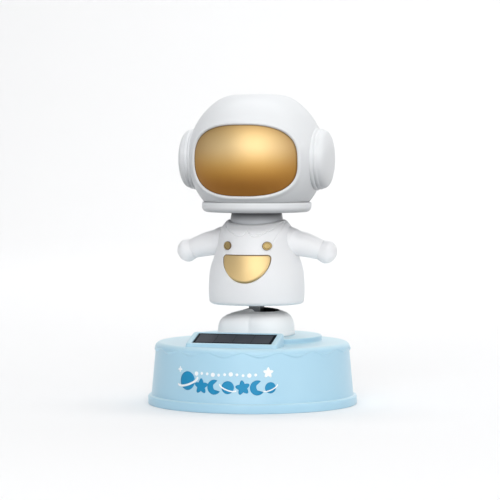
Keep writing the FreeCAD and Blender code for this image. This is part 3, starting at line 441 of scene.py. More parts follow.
def sleeve_material(name, color, shade):
    """Soft vinyl or heat-shrunk sleeve."""
    return moulded_plastic(name, color, shade, 0.38, grain=0.000008)


GLOSS_SPREAD = 0.05
VISOR_POWER = 2.73
VISOR_HALF_X = 19.05
VISOR_HALF_Z = 12.7
VISOR_Z = 85.95
# Painted shade: the helmet's white turns grey on faces that turn downwards.
HELMET_PAINTED_UNDER_SHADE = ("Normal", 0.2, -0.85, (0.34, 0.345, 0.355), 1.0)
# Painted light: the blue turns paler on faces that turn upwards, such as the deck.
BLUE_PAINTED_TOP_LIGHT = ("Normal", 0.35, 1.0, (0.6, 0.8, 0.86), 0.6)
# Painted shadow: the neck sleeve turns nearly black towards its top, under the helmet's collar.
NECK_PAINTED_TOP_SHADOW = ("Object", (COLLAR_LOW.z - 3.2) * MM, (COLLAR_LOW.z - 0.8) * MM, (0.03, 0.03, 0.034), 0.85)
WHITE = moulded_plastic(
    "white_moulded_plastic", (0.81, 0.815, 0.825), (0.79, 0.795, 0.81), 0.4, subsurface=0.05
)
# A darker copy of the white plastic for the helmet, collar and ear pods, with painted shade underneath.
HELMET_WHITE_PAINTED_SHADE = moulded_plastic(
    "white_plastic_painted_under_shade", (0.77, 0.785, 0.795), (0.75, 0.765, 0.78), 0.4, subsurface=0.05,
    tinted=HELMET_PAINTED_UNDER_SHADE,
)
# A brighter copy of the white plastic for the shoes: painted light against the shade from the torso.
SHOE_WHITE_PAINTED_LIGHT = moulded_plastic("white_shoe_plastic_painted_light", (0.96, 0.965, 0.965), (0.94, 0.945, 0.95), 0.4)
BLUE = moulded_plastic(
    "pale_blue_plastic_painted_top_light", (0.435, 0.675, 0.815), (0.415, 0.655, 0.8), 0.3, subsurface=0.04,
    tinted=BLUE_PAINTED_TOP_LIGHT,
)
GREY = moulded_plastic("grey_moulded_plastic", (0.3, 0.31, 0.33), (0.27, 0.28, 0.3), 0.45)
# A grey copy of the white plastic for the neck sleeve: painted shade.
NECK_GREY_PAINTED_SHADE = moulded_plastic(
    "neck_plastic_painted_shade", (0.58, 0.595, 0.62), (0.55, 0.565, 0.59), 0.45, tinted=NECK_PAINTED_TOP_SHADOW
)
BLACK = moulded_plastic("black_moulded_plastic", (0.012, 0.012, 0.014), (0.009, 0.009, 0.01), 0.42)
BLUE_INK = moulded_plastic("blue_print_ink", (0.004, 0.26, 0.5), (0.003, 0.24, 0.47), 0.5)
WHITE_INK = moulded_plastic("white_print_ink", (0.93, 0.95, 0.96), (0.9, 0.92, 0.94), 0.38)
VISOR_GOLD_PAINTED_REFLECTION = visor_gold()
TRIM_GOLD = gold_paint("gold_trim_paint", (0.86, 0.65, 0.33), (0.81, 0.59, 0.28), 0.52)
BUTTON_GOLD = gold_paint("gold_button_paint", (0.62, 0.46, 0.2), (0.55, 0.4, 0.16), 0.44)
# Painted shade: a dark bronze for the recess round the pocket and the slopes of the buttons' rims.
BRONZE_PAINTED_SHADE = moulded_plastic("bronze_painted_recess_shade", (0.16, 0.1, 0.045), (0.14, 0.085, 0.035), 0.4)
STEEL = worked_metal("zinc_plated_steel", (0.58, 0.58, 0.6), (0.47, 0.47, 0.49), 0.32)
NICKEL = worked_metal("nickel_plate", (0.68, 0.66, 0.62), (0.6, 0.58, 0.55), 0.2)
COPPER = wound_copper()
BOARD = solder_mask()
NODE_FINISHES = {
    "base_cover": BLUE,
    "cover_screws": STEEL,
    "circuit_board": BOARD,
    "driver_chip": BLACK,
    "storage_capacitor": sleeve_material("capacitor_sleeve", (0.02, 0.035, 0.12), (0.015, 0.028, 0.1)),
    "coil_bobbin": BLACK,
    "drive_coil": COPPER,
    "cell_lead_plus": sleeve_material("red_lead_vinyl", (0.45, 0.015, 0.015), (0.38, 0.01, 0.01)),
    "cell_lead_minus": sleeve_material("black_lead_vinyl", (0.015, 0.015, 0.015), (0.01, 0.01, 0.01)),
    "coil_tails": COPPER,
    "support_post": GREY,
    "post_screws": STEEL,
    "torso_pin": STEEL,
    "head_pin": STEEL,
    "pin_nut": STEEL,
    "torso_hanger": BLACK,
    "hanger_screws": STEEL,
    "head_lever": BLACK,
    "magnet_holder": BLACK,
    "drive_magnet": NICKEL,
    "balance_weight": STEEL,
    "yoke_screws": STEEL,
}


def finish_cad_nodes():
    """Gives each CAD node that stays its own procedural material."""
    for name, material in NODE_FINISHES.items():
        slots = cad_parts[name].data.materials
        for i in range(len(slots)):
            slots[i] = material
        if not slots:
            slots.append(material)


# ---------------------------------------------------------------- base
DRUM_FOOT_R = 35.8
DRUM_TOP_R = 34.1
FLANGE_H = 3.2
SHELL_INNER_R = 33.0
COVER_SEAT_R = 34.6
COVER_T = 1.6
PLATFORM_R = 23.2
SLOT_HALF_X = 9.6
SLOT_FRONT = -1.45
SLOT_BACK = 5.0
DECK_T = 1.6
CEILING_Z = DECK_Z - DECK_T
SCALLOPS = 17
ICING_Z = 19.75
ICING_SWING = 0.8
ICING_TURN = 0.026
ICING_PROUD = 0.5
ICING_SOFT = 0.45
SHOULDER_ROUND = 2.1
SLOT_ROUND = 0.35
PLATFORM_ROUND = 0.6
PLATFORM_FILLET = 0.5
FLANGE_FILLET = 0.35
FLANGE_ROUND = 0.75
FOOT_ROUND = 0.25
DRUM_COUNT = 640


def drum_radius(z):
    """Radius of the plain tapering wall."""
    return lerp(DRUM_FOOT_R, DRUM_TOP_R, (z - FLANGE_H) / (DECK_Z - FLANGE_H))


def icing_edge(angle):
    """Height of the icing's lower edge: rounded lobes that hang down, with a low point at the front."""
    return ICING_Z - ICING_SWING * math.cos(SCALLOPS * (angle + ICING_TURN))


def base_wall_point(angle, z):
    """The drum's radius at a height, with the icing laid over its shoulder."""
    edge = icing_edge(angle)
    proud = ICING_PROUD * smooth_step(edge - ICING_SOFT, edge + ICING_SOFT, z)
    return drum_radius(z) + proud


def superellipse_loop(count, half_x, front, back, power, centre_y):
    """Points of a rounded rectangle, matched in angle to a circle, starting at the front."""
    points = []
    mid_y = (back - front) / 2 + centre_y
    half_y = (front + back) / 2
    for angle in turns_of(count):
        s, c = math.sin(angle), math.cos(angle)
        scale = (abs(s / half_x) ** power + abs(c / half_y) ** power) ** (-1 / power)
        points.append((scale * s, mid_y - scale * c))
    return points


def slot_outline(grow):
    """The deck slot's outline, grown by an amount."""
    return superellipse_loop(
        DRUM_COUNT, SLOT_HALF_X + grow, -SLOT_FRONT + grow, SLOT_BACK + grow, 9.0, FIGURE_Y
    )


def blended(loop_a, loop_b, t):
    """A loop a share t of the way from one loop to another."""
    return [tuple(lerp(a, b, t) for a, b in zip(p, q)) for p, q in zip(loop_a, loop_b)]


def drum_ring(radius, centre_y, z):
    """A level ring of the base's skin."""
    return [ring_point(radius, t, centre_y, z) for t in turns_of(DRUM_COUNT)]


def make_base():
    """One closed skin: slot, platform, deck, icing shoulder, drum, flange, and the hollow inside."""
    slot, wide_slot = slot_outline(0.0), slot_outline(SLOT_ROUND)
    loops = [[(x, y, z) for x, y in slot] for z in (CEILING_Z, PLATFORM_TOP - SLOT_ROUND)]
    for degrees in (30, 60, 90):
        turn = math.radians(degrees)
        grow, drop = SLOT_ROUND * (1 - math.cos(turn)), SLOT_ROUND * (1 - math.sin(turn))
        share, z = grow / SLOT_ROUND, PLATFORM_TOP - drop
        loops.append([(lerp(a[0], b[0], share), lerp(a[1], b[1], share), z) for a, b in zip(slot, wide_slot)])
    edge, edge_r = loops[-1], PLATFORM_R - PLATFORM_ROUND
    rim_start = drum_ring(edge_r, FIGURE_Y, PLATFORM_TOP)
    loops += [blended(edge, rim_start, t) for t in (0.25, 0.5, 0.75)]
    platform_edge = arc(edge_r, PLATFORM_TOP - PLATFORM_ROUND, PLATFORM_ROUND, 90, 0, 6)
    platform_edge += arc(
        PLATFORM_R + PLATFORM_FILLET, DECK_Z + PLATFORM_FILLET, PLATFORM_FILLET, 180, 270, 5
    )
    loops += [drum_ring(r, FIGURE_Y, z) for r, z in platform_edge]
    shoulder_r = drum_radius(DECK_Z) + ICING_PROUD - SHOULDER_ROUND
    shoulder = drum_ring(shoulder_r, 0, DECK_Z)
    foot = loops[-1]
    loops += [blended(foot, shoulder, t) for t in (0.3, 0.65)]
    for r, z in arc(shoulder_r, DECK_Z - SHOULDER_ROUND, SHOULDER_ROUND, 90, 30, 10):
        loops.append(shoulder_loop(r, z))
    z_from = DECK_Z - SHOULDER_ROUND + SHOULDER_ROUND * math.sin(math.radians(30))
    z_to = ICING_Z - ICING_SWING - ICING_SOFT - 0.1
    steps = 34
    loops += [wall_loop(lerp(z_from, z_to, i / steps), shoulder_r) for i in range(1, steps + 1)]
    loops += [drum_ring(drum_radius(z), 0, z) for z in (16.0, 12.0, 8.0, FLANGE_H + 0.55)]
    fillet_r = drum_radius(FLANGE_H) + FLANGE_FILLET
    flange = [
        *arc(fillet_r, FLANGE_H + FLANGE_FILLET, FLANGE_FILLET, 180, 270, 4),
        *arc(FLANGE_R - FLANGE_ROUND, FLANGE_H - FLANGE_ROUND, FLANGE_ROUND, 90, 0, 7),
        *arc(FLANGE_R - FOOT_ROUND, FOOT_ROUND, FOOT_ROUND, 0, -90, 3),
        (COVER_SEAT_R, 0),
        (COVER_SEAT_R, COVER_T),
        (SHELL_INNER_R, COVER_T),
        (SHELL_INNER_R, 10.0),
        (SHELL_INNER_R, CEILING_Z),
    ]
    loops += [drum_ring(r, 0, z) for r, z in flange]
    ceiling = loops[-1]
    loops += [blended(ceiling, loops[0], t) for t in (0.35, 0.7)]
    skin("base_drum", loops, BLUE, "base", "blue_plastic", "base_housing")


def shoulder_loop(radius, z):
    """A loop on the rounded shoulder, drawn in a little where the icing has ended."""
    lowered = smooth_step(DECK_Z - 0.2, DECK_Z - SHOULDER_ROUND, z)
    points = []
    for t in turns_of(DRUM_COUNT):
        bare = 1 - smooth_step(icing_edge(t) - ICING_SOFT, icing_edge(t) + ICING_SOFT, z)
        points.append(ring_point(radius - ICING_PROUD * bare * lowered, t, 0, z))
    return points


def wall_loop(z, shoulder_r):
    """A loop through the icing's edge zone, where the shoulder's round meets the wall."""
    above = z - (DECK_Z - SHOULDER_ROUND)
    rounded = shoulder_r + math.sqrt(SHOULDER_ROUND**2 - max(above, 0.0) ** 2)
    points = []
    for t in turns_of(DRUM_COUNT):
        wall = base_wall_point(t, z)
        points.append(ring_point(min(wall, rounded) if above > 0 else wall, t, 0, z))
    return points


CELL_W = 28.0
CELL_D = 8.9
CELL_T = 1.1
CELL_Y = -23.88
CELL_Z = 24.58
CELL_TILT = 17.5
FRAME_W = 32.6


def cell_plane(x, across, up):
    """A point given in the solar cell's own plane."""
    c, s = math.cos(math.radians(CELL_TILT)), math.sin(math.radians(CELL_TILT))
    return (x, CELL_Y + across * c - up * s, CELL_Z + across * s + up * c)


def make_cell_frame():
    """The sloping frame round the cell: a wedge with rounded edges and a seat."""
    front, back = -CELL_D / 2 - 1.2, CELL_D / 2 + 1.5
    rim = 0.14
    half = FRAME_W / 2
    seat_x, seat_a = CELL_W / 2 + 0.15, CELL_D / 2 + 0.15

    def rectangle(half_x, low, high, up, radius):
        """A rounded rectangle in the cell's plane."""
        points = []
        corners = (
            (half_x - radius, high - radius, 0),
            (-half_x + radius, high - radius, 90),
            (-half_x + radius, low + radius, 180),
            (half_x - radius, low + radius, 270),
        )
        for cx, ca, start in corners:
            points += arc(cx, ca, radius, start, start + 90, 5)
        return [cell_plane(x, a, up) for x, a in points]

    def foot(flare, z):
        """The frame's outline seen from above, flared a little, at a level."""
        loop = rectangle(half + flare, front - flare, back + flare, rim, 1.2)
        return [(x, y, z) for x, y, _ in loop]

    top = [
        rectangle(half - round_in, front + round_in, back - round_in, rim - drop, 1.2 - round_in * 0.5)
        for round_in, drop in ((0.0, 0.7), (0.1, 0.35), (0.35, 0.1), (0.7, 0.0))
    ]
    lip = [
        rectangle(seat_x + g, -seat_a - g, seat_a + g, rim - d, 0.35)
        for g, d in ((0.22, 0.0), (0.07, 0.05), (0.0, 0.2), (0.0, rim + CELL_T + 0.6))
    ]
    floor = [[(x * 0.5, lerp(CELL_Y, y, 0.5), z) for x, y, z in lip[-1]]]
    under = [[(x, y, DECK_Z - 1.2) for x, y, _ in floor[0]]]
    skirt = [foot(0.1, DECK_Z - 1.2), foot(0.1, DECK_Z), foot(0.02, DECK_Z + 0.3)]
    loops = under + skirt + top + lip + floor
    skin("cell_frame", loops, BLUE, "base", "blue_plastic", "base_housing")


def cell_look(name, color, roughness, ior, specular):
    """A dark surface under clear resin."""
    material, tree, shader = principled(name, color, roughness, ior=ior)
    shader.inputs["Specular IOR Level"].default_value = specular
    return material, tree, shader


def cell_material():
    """Dark silicon under clear resin, with a soft blue-grey cloudiness."""
    material, tree, shader = cell_look("amorphous_cell", (0.035, 0.04, 0.05), 0.45, 1.3, 0.3)
    tone = between(tree, noise(tree, 90.0, 3.0), 0.3, 0.7, (0.032, 0.037, 0.047), (0.046, 0.052, 0.064))
    tree.links.new(tone, shader.inputs["Base Color"])
    uneven_gloss(tree, shader, noise(tree, 300.0, 3.0), 0.36, 0.46)
    return material


def black_glass_material():
    """The cell's black border under its clear cover."""
    material, tree, shader = cell_look("black_cell_border", (0.002, 0.005, 0.01), 0.5, 1.2, 0.12)
    uneven_gloss(tree, shader, noise(tree, 240.0, 3.0), 0.3, 0.42)
    return material


CELL_FACE = cell_material()
BLACK_GLASS = black_glass_material()


def slab(name, half_x, low, high, bottom, top, material, edge=0.12):
    """A thin plate in the cell's plane with a small rounded top edge."""

    def rectangle(shrink, up):
        """The plate's outline, drawn in and at a height over the cell's plane."""
        return [
            cell_plane(x, a, up)
            for x, a in (
                (-half_x + shrink, low + shrink),
                (half_x - shrink, low + shrink),
                (half_x - shrink, high - shrink),
                (-half_x + shrink, high - shrink),
            )
        ]

    loops = [
        rectangle(0, bottom),
        rectangle(0, top - edge),
        rectangle(edge * 0.3, top - edge * 0.3),
        rectangle(edge, top),
    ]
    middle = (low + high) / 2
    ends = ((0, cell_plane(0, middle, bottom)), (-1, cell_plane(0, middle, top)))
    piece = loops_mesh(name, loops, material, shut=False, caps=ends)
    for polygon in piece.data.polygons:
        polygon.use_smooth = False
    return piece


def make_solar_cell():
    """The cell: a black glass plate and four active strips between fine gaps."""
    half_d = CELL_D / 2
    plate = slab("cell_plate", CELL_W / 2, -half_d, half_d, -CELL_T, 0.0, BLACK_GLASS)
    finished(plate, "base", "cell", "solar_cell")
    strips = 4
    border, gap = 0.85, 0.1
    inner = CELL_W - 2 * border
    width = (inner - gap * (strips - 1)) / strips
    for i in range(strips):
        centre = -inner / 2 + width / 2 + i * (width + gap)
        name = f"cell_strip_{i + 1}"
        strip = slab(name, width / 2, -half_d + border, half_d - border, -0.05, 0.02, CELL_FACE, 0.02)
        for vertex in strip.data.vertices:
            vertex.co.x += centre * MM
        finished(strip, "base", "cell")


# ---------------------------------------------------------------- printed decoration
def on_drum(arc_mm, z, proud):
    """A point on the drum's front, arc_mm round from the front's middle."""
    radius = drum_radius(z)
    return ring_point(radius + proud, arc_mm / radius, 0, z)


PRINT_FOOT = -0.1
PRINT_PROUD = 0.05
RING_PROUD = 0.09
CRESCENT_BITE = 0.62


def decal(name, outline, material, centre=None):
    """A thin raised print in the shape of an outline of (arc, z) points, star-shaped about its centre."""
    centre = centre or (
        sum(p[0] for p in outline) / len(outline),
        sum(p[1] for p in outline) / len(outline),
    )
    rings = 4
    loops = [[on_drum(a, z, PRINT_FOOT) for a, z in outline]]
    for i in range(rings):
        t = 1 - i / rings
        loops.append([on_drum(lerp(centre[0], a, t), lerp(centre[1], z, t), PRINT_PROUD) for a, z in outline])
    ends = ((0, on_drum(*centre, PRINT_FOOT)), (-1, on_drum(*centre, PRINT_PROUD)))
    skin(name, loops, material, "base", "blue_plastic", shut=False, caps=ends)


def decal_strip(name, path, width, material):
    """A printed stroke along a path of (arc, z) points, narrower at its ends."""
    loops = []
    count = len(path)
    for i, (a, z) in enumerate(path):
        before, after = path[max(i - 1, 0)], path[min(i + 1, count - 1)]
        da, dz = after[0] - before[0], after[1] - before[1]
        length = math.hypot(da, dz)
        na, nz = -dz / length, da / length
        t = i / (count - 1)
        end = min(t, 1 - t) * (count - 1)
        half = max(width / 2 * min(1.0, 0.35 + 0.65 * min(end, 2) / 2), 0.02)
        left, right = (a + na * half, z + nz * half), (a - na * half, z - nz * half)
        corners = ((left, PRINT_FOOT), (left, RING_PROUD), (right, RING_PROUD), (right, PRINT_FOOT))
        loops.append([on_drum(*place, proud) for place, proud in corners])
    ends = ((0, on_drum(*path[0], RING_PROUD / 2)), (-1, on_drum(*path[-1], RING_PROUD / 2)))
    skin(name, loops, material, "base", "blue_plastic", shut=False, caps=ends)


def round_outline(a, z, radius, count=40):
    """A circle."""
    return [(a + radius * math.cos(t), z + radius * math.sin(t)) for t in turns_of(count)]


def star_outline(a, z, radius, points, inner, turn):
    """A star with softened tips, turned by some degrees."""
    outline = []
    for k, angle in enumerate(turns_of(points * 12)):
        wave = abs((k % 12) / 6 - 1)
        sharp = wave**1.15
        r = radius * lerp(inner, 1.0, sharp) * (1 - 0.07 * smooth_step(0.8, 1.0, wave))
        turned = angle + math.radians(turn)
        outline.append((a + r * math.cos(turned), z + r * math.sin(turned)))
    return outline


def crescent_outline(a, z, radius, turn):
    """A crescent moon, turned by some degrees."""
    count = 28
    outer = arc(0.0, 0.0, 1.0, 48, 312, count)
    tip_x, tip_y = outer[0]
    centre_x = CRESCENT_BITE
    inner_r = math.hypot(tip_x - centre_x, tip_y)
    start = math.degrees(math.atan2(tip_y, tip_x - centre_x))
    inner = arc(centre_x, 0.0, inner_r, 360 - start, start, count)[1:-1]
    c, s = math.cos(math.radians(turn)), math.sin(math.radians(turn))
    return [(a + radius * (x * c - y * s), z + radius * (x * s + y * c)) for x, y in outer + inner]


def orbit(a, z, half_width, half_height, turn, start, end):
    """A stretch of a tilted ellipse."""
    count = 36
    c, s = math.cos(math.radians(turn)), math.sin(math.radians(turn))
    path = []
    for k in range(count + 1):
        t = math.radians(lerp(start, end, k / count))
        x, y = half_width * math.cos(t), half_height * math.sin(t)
        path.append((a + x * c - y * s, z + x * s + y * c))
    return path


def make_print():
    """A generic night-sky frieze in two inks: planets, stars and moons, with white dots above."""
    mid = 8.8

    def planet(name, a, z, radius, tilt):
        """A planet with a white ring across it."""
        decal(name, round_outline(a, z, radius), BLUE_INK)
        ring = orbit(a, z, radius * 1.38, radius * 0.42, tilt, 172, 368)
        decal_strip(name + "_ring", ring, radius * 0.22, WHITE_INK)

    def star(name, a, z, radius, turn=90.0, ink=BLUE_INK, points=5, inner=0.55):
        """A star in one of the inks."""
        decal(name, star_outline(a, z, radius, points, inner, turn), ink, centre=(a, z))

    def moon(name, a, z, radius, turn):
        """A crescent moon."""
        middle = (a - CRESCENT_BITE * radius, z - 0.16 * radius)
        decal(name, crescent_outline(a, z, radius, turn), BLUE_INK, centre=middle)

    planet("print_planet_large", -15.0, 10.5, 3.2, 18)
    star("print_star_a", -9.2, mid + 0.1, 2.9)
    moon("print_moon_a", -4.2, mid, 2.55, 15)
    planet("print_planet_small", 0.7, mid, 2.2, -20)
    star("print_star_b", 5.9, mid, 2.75, 100)
    moon("print_moon_b", 10.9, mid, 2.55, 15)
    planet("print_planet_last", 15.4, mid, 1.9, 24)
    star("print_white_star", 14.5, 13.9, 2.0, ink=WHITE_INK, inner=0.5)
    star("print_white_star_small", -18.6, 14.2, 1.1, ink=WHITE_INK, points=4, inner=0.38)
    dots = 11
    for i in range(dots):
        a = lerp(-11.2, 10.2, i / (dots - 1))
        size = 0.5 if i % 3 else 0.75
        outline = round_outline(a, 13.1 + 0.2 * math.sin(i * 1.3), size, 20)
        decal(f"print_dot_{i + 1}", outline, WHITE_INK)


# ---------------------------------------------------------------- shoes
SHOE_ROWS = [
    # height above the platform, half width, front, back, squareness
    (0.0, 13.35, 12.3, 10.2, 2.9),
    (0.5, 13.4, 12.35, 10.25, 2.9),
    (2.85, 13.3, 12.2, 10.1, 2.9),
    (5.0, 12.9, 11.8, 9.8, 2.9),
    (6.6, 12.15, 11.0, 9.1, 2.9),
    (7.6, 11.1, 9.8, 8.3, 2.9),
    (8.2, 10.1, 8.7, 7.6, 3.0),
    (8.6, 9.4, 7.7, 7.1, 3.2),
]
SHOE_MOUTH_X = 7.9
SHOE_MOUTH_Y = 5.6
SHOE_WALL = 1.2


def shoe_loop(count, height, shrink, crease=0.22):
    """The pair's outline at a height, pinched between the two shoes in front and, less, behind."""
    half_x, front, back, power = curve_through(SHOE_ROWS, height)
    half_x, front, back = half_x - shrink, front - shrink, back - shrink
    points = []
    for t in turns_of(count):
        t -= 0.14 * math.sin(2 * t)
        s, c = math.sin(t), math.cos(t)
        depth = front if c > 0 else back
        scale = (abs(s / half_x) ** power + abs(c / depth) ** power) ** (-1 / power)
        x, y = scale * s, -scale * c
        pinch = math.exp(-((x / 0.7) ** 2)) * crease + math.exp(-((x / 2.6) ** 2)) * 0.4 * (crease > 0)
        y += pinch if c > 0 else -pinch * 0.8
        points.append((x, FIGURE_Y + y, PLATFORM_TOP + height - shoe_drop(x, height)))
    return points


def shoe_drop(x, height):
    """How much lower the right shoe's shoulder lies than the left one's."""
    return 0.9 * smooth_step(-1.0, -11.0, x) * smooth_step(3.0, 8.0, height)


def make_shoes():
    """Two shoes side by side in one hollow moulding, open on top where the post and the lever pass. The
    inside of the mouth is black as painted shade.
    """
    count = 480
    top = SHOE_ROWS[-1][0]
    loops = [shoe_loop(count, 0.0, 0.35), shoe_loop(count, 0.12, 0.1)]
    steps = 30
    for i in range(steps + 1):
        h = lerp(0.35, top - 0.55, i / steps)
        sole = 0.22 * smooth_step(1.5, 1.32, h) - 0.16 * math.exp(-(((h - 1.62) / 0.14) ** 2))
        loops.append(shoe_loop(count, h, 0.12 - sole * 0.5))
    for turn in (25, 50, 75, 90):
        t = math.radians(turn)
        loop = shoe_loop(count, top, 0.12 + 0.75 * (1 - math.cos(t)))
        loops.append([(x, y, z - 0.55 * (1 - math.sin(t))) for x, y, z in loop])
    outer = loops[-1]
    mouth = superellipse_loop(count, SHOE_MOUTH_X, SHOE_MOUTH_Y, SHOE_MOUTH_Y, 5.0, FIGURE_Y)
    z_top = PLATFORM_TOP + top
    crown, lip_dip = 0.85, 1.3

    def rim_height(x, y):
        """The mouth's rim rises towards the post, and hangs lower in front on the lever's side."""
        front = smooth_step(FIGURE_Y + 1.0, FIGURE_Y - SHOE_MOUTH_Y, y)
        beside = smooth_step(-0.5, 1.5, x) * (1 - (max(x, 0.0) / SHOE_MOUTH_X) ** 2)
        return z_top + crown * (1 - (x / SHOE_MOUTH_X) ** 2) - lip_dip * front * beside - shoe_drop(x, top)

    mouth_top = [(x, y, rim_height(x, y)) for x, y in mouth]
    for t in (0.2, 0.4, 0.6, 0.8):
        rise = smooth_step(0.0, 1.0, t)
        pairs = zip(outer, mouth_top)
        loops.append([(lerp(a[0], b[0], t), lerp(a[1], b[1], t), lerp(a[2], b[2], rise)) for a, b in pairs])
    loops.append(mouth_top)
    white_rows = len(loops)
    loops.append([(x, y, rim_height(x, y) - 0.25) for x, y in mouth])
    loops.append([(x, y, z_top - 2.0) for x, y in mouth])
    loops += [shoe_loop(count, lerp(top - 2.1, 0.0, i / 8), SHOE_WALL, 0.0) for i in range(9)]
    shoes = loops_mesh("shoes_pair", loops, SHOE_WHITE_PAINTED_LIGHT)
    # Painted shade: the faces inside the mouth take the black plastic.
    shoes.data.materials.append(BLACK)
    for polygon in shoes.data.polygons:
        if min(polygon.vertices) // count >= white_rows - 1:
            polygon.material_index = 1
    finished(shoes, "base", "white_plastic", "shoes")


# ---------------------------------------------------------------- torso
TORSO_ROWS = [
    # height above the hem, half width, half depth
    (0.0, 15.9, 15.9),
    (0.35, 16.5, 16.45),
    (1.0, 16.9, 16.85),
    (5.0, 17.1, 17.0),
    (10.0, 16.9, 16.8),
    (14.0, 16.1, 16.3),
    (17.0, 15.0, 15.7),
    (21.0, 13.9, 14.9),
    (24.0, 13.4, 13.9),
    (26.5, 12.8, 12.6),
    (28.5, 11.6, 11.3),
    (29.45, 10.7, 10.6),
    (29.8, 10.1, 10.1),
]
TORSO_TOP = TORSO_ROWS[-1][0]
TORSO_WALL = 1.15
TORSO_SEAM = 0.05


def torso_radii(height):
    """Half width and half depth of the bell at a height above its hem."""
    return curve_through(TORSO_ROWS, height)


POCKET_HALF = (POCKET_HIGH.x - POCKET_LOW.x) / 2
POCKET_LIFT = 0.35
POCKET_TOP = POCKET_HIGH.z + POCKET_LIFT
POCKET_DROP = POCKET_TOP - POCKET_LOW.z
POCKET_CORNER = 1.0
PLATE_CORNER = 1.1


def pocket_distance(x, z):
    """Roughly how far a chest point lies outside the pocket's outline, negative inside."""
    down = POCKET_TOP - POCKET_CORNER - z
    depth = POCKET_DROP - POCKET_CORNER
    if down >= 0:
        q = math.sqrt((x / POCKET_HALF) ** 2 + (down / depth) ** 2)
        if q < 1e-6:
            side = -depth
        else:
            steep = math.hypot(x / POCKET_HALF**2, down / depth**2) / q
            side = (q - 1) / max(steep, 1e-6)
        return max(side, z - POCKET_TOP)
    dx, dz = max(abs(x) - (POCKET_HALF - POCKET_CORNER), 0.0), z - (POCKET_TOP - POCKET_CORNER)
    return math.hypot(dx, max(dz, 0.0)) - POCKET_CORNER


COLLAR_EDGE = [
    # distance from the middle, height of the little round collar's lower edge
    (0.0, 61.9),
    (0.45, 60.95),
    (1.3, 59.95),
    (2.75, 59.5),
    (4.2, 59.75),
    (5.7, 60.5),
    (8.3, 62.1),
    (9.6, 63.5),
    (10.6, 65.2),
]
NECKLINE_DIP = 1.5


def collar_edge(x):
    """Height of the little round collar's lower edge. It meets in a notch in front."""
    return curve_through(COLLAR_EDGE, min(abs(x), COLLAR_EDGE[-1][0]))[0]


def strap_line(z):
    """Distance from the middle of the dungarees' outer strap edge at a height."""
    return lerp(8.7, 10.9, smooth_step(55.6, 63.2, z))


def chest_relief(x, z):
    """Raised and sunk detail of the chest, in millimetres along the surface normal."""
    relief = 0.0
    edge = collar_edge(x)
    over = z - edge
    relief += 0.22 * smooth_step(-0.16, 0.16, over)
    relief -= 0.3 * math.exp(-(((over + 0.16) / 0.19) ** 2))
    if 54.6 < z < edge:
        gap = abs(x) - strap_line(z)
        fade = smooth_step(54.6, 56.0, z)
        relief += 0.1 * smooth_step(0.2, -0.2, gap) * fade
        relief -= 0.2 * math.exp(-((gap / 0.19) ** 2)) * fade
    pocket = pocket_distance(x, z)
    relief -= 0.5 * smooth_step(0.3, 0.08, pocket)
    for side in (-1, 1):
        ring = math.hypot(x - side * BUTTON_X, z - BUTTON_Z) - BUTTON_R
        relief -= 0.1 * math.exp(-(((ring - 0.12) / 0.14) ** 2))
    return relief


BUTTON_R = (BUTTONS_HIGH.z - BUTTONS_LOW.z) / 2
BUTTON_X = BUTTONS_HIGH.x - BUTTON_R
BUTTON_Z = (BUTTONS_HIGH.z + BUTTONS_LOW.z) / 2


def torso_point(angle, height, inset, detail=None):
    """A point of the bell at an angle from the front, moved inwards by inset, with relief added."""
    half_x, half_y = torso_radii(height)
    half_x, half_y = half_x - inset, half_y - inset
    x, y = half_x * math.sin(angle), -half_y * math.cos(angle)
    dip = NECKLINE_DIP * max(math.cos(angle), 0.0) ** 1.5 * smooth_step(25.0, TORSO_TOP, height)
    z = HEM_Z + height - dip
    if detail:
        push = detail(x, z)
        nx, ny = math.sin(angle) / half_x, -math.cos(angle) / half_y
        length = math.hypot(nx, ny)
        x, y = x + push * nx / length, y + push * ny / length
    return (x, FIGURE_Y + y, z)


def torso_heights(steps):
    """Levels from hem to collar, close together where the shape turns fast."""
    levels = [0.0, 0.12, 0.3, 0.6]
    plain_to, rim_from = 20.0, TORSO_TOP - 0.5
    plain_rows = steps * 2 // 5
    fine_rows = steps - plain_rows
    levels += [lerp(1.0, plain_to, i / plain_rows) for i in range(plain_rows)]
    levels += [lerp(plain_to, rim_from, i / fine_rows) for i in range(fine_rows + 1)]
    levels += [TORSO_TOP - 0.3, TORSO_TOP - 0.12, TORSO_TOP]
    return levels


def make_torso_half(name, start, end, columns, steps, detail, node):
    """Half of the bell as a closed shell with a fine seam at its sides."""
    heights = torso_heights(steps)
    loops = []
    for k in range(columns + 1):
        angle = lerp(start, end, k / columns)
        inset = TORSO_SEAM if k in (0, columns) else 0.0
        outer = [torso_point(angle, h, inset, detail) for h in heights]
        inner = [torso_point(angle, h, TORSO_WALL) for h in reversed(heights)]
        loops.append(outer + inner)
    piece = loops_mesh(name, loops, WHITE, ring=True, shut=False)
    close_ends(piece, len(loops[0]), len(loops), len(heights))
    make_outward(piece)
    finished(piece, "torso", "white_plastic", node)


def close_ends(piece, count, rows, half):
    """Fills the first and last loop of a shell strip with quads between its outer and inner lines."""
    mesh = piece.data
    points = [v.co.copy() for v in mesh.vertices]
    faces = [tuple(p.vertices) for p in mesh.polygons]
    for row, flip in ((0, False), (rows - 1, True)):
        base = row * count
        for i in range(half - 1):
            face = (base + i, base + i + 1, base + count - 2 - i, base + count - 1 - i)
            faces.append(face[::-1] if flip else face)
    fresh = bpy.data.meshes.new(mesh.name + "_shell")
    fresh.from_pydata(points, [], faces)
    fresh.polygons.foreach_set("use_smooth", [True] * len(fresh.polygons))
    fresh.materials.append(mesh.materials[0])
    piece.data = fresh
    consistent_normals(piece)


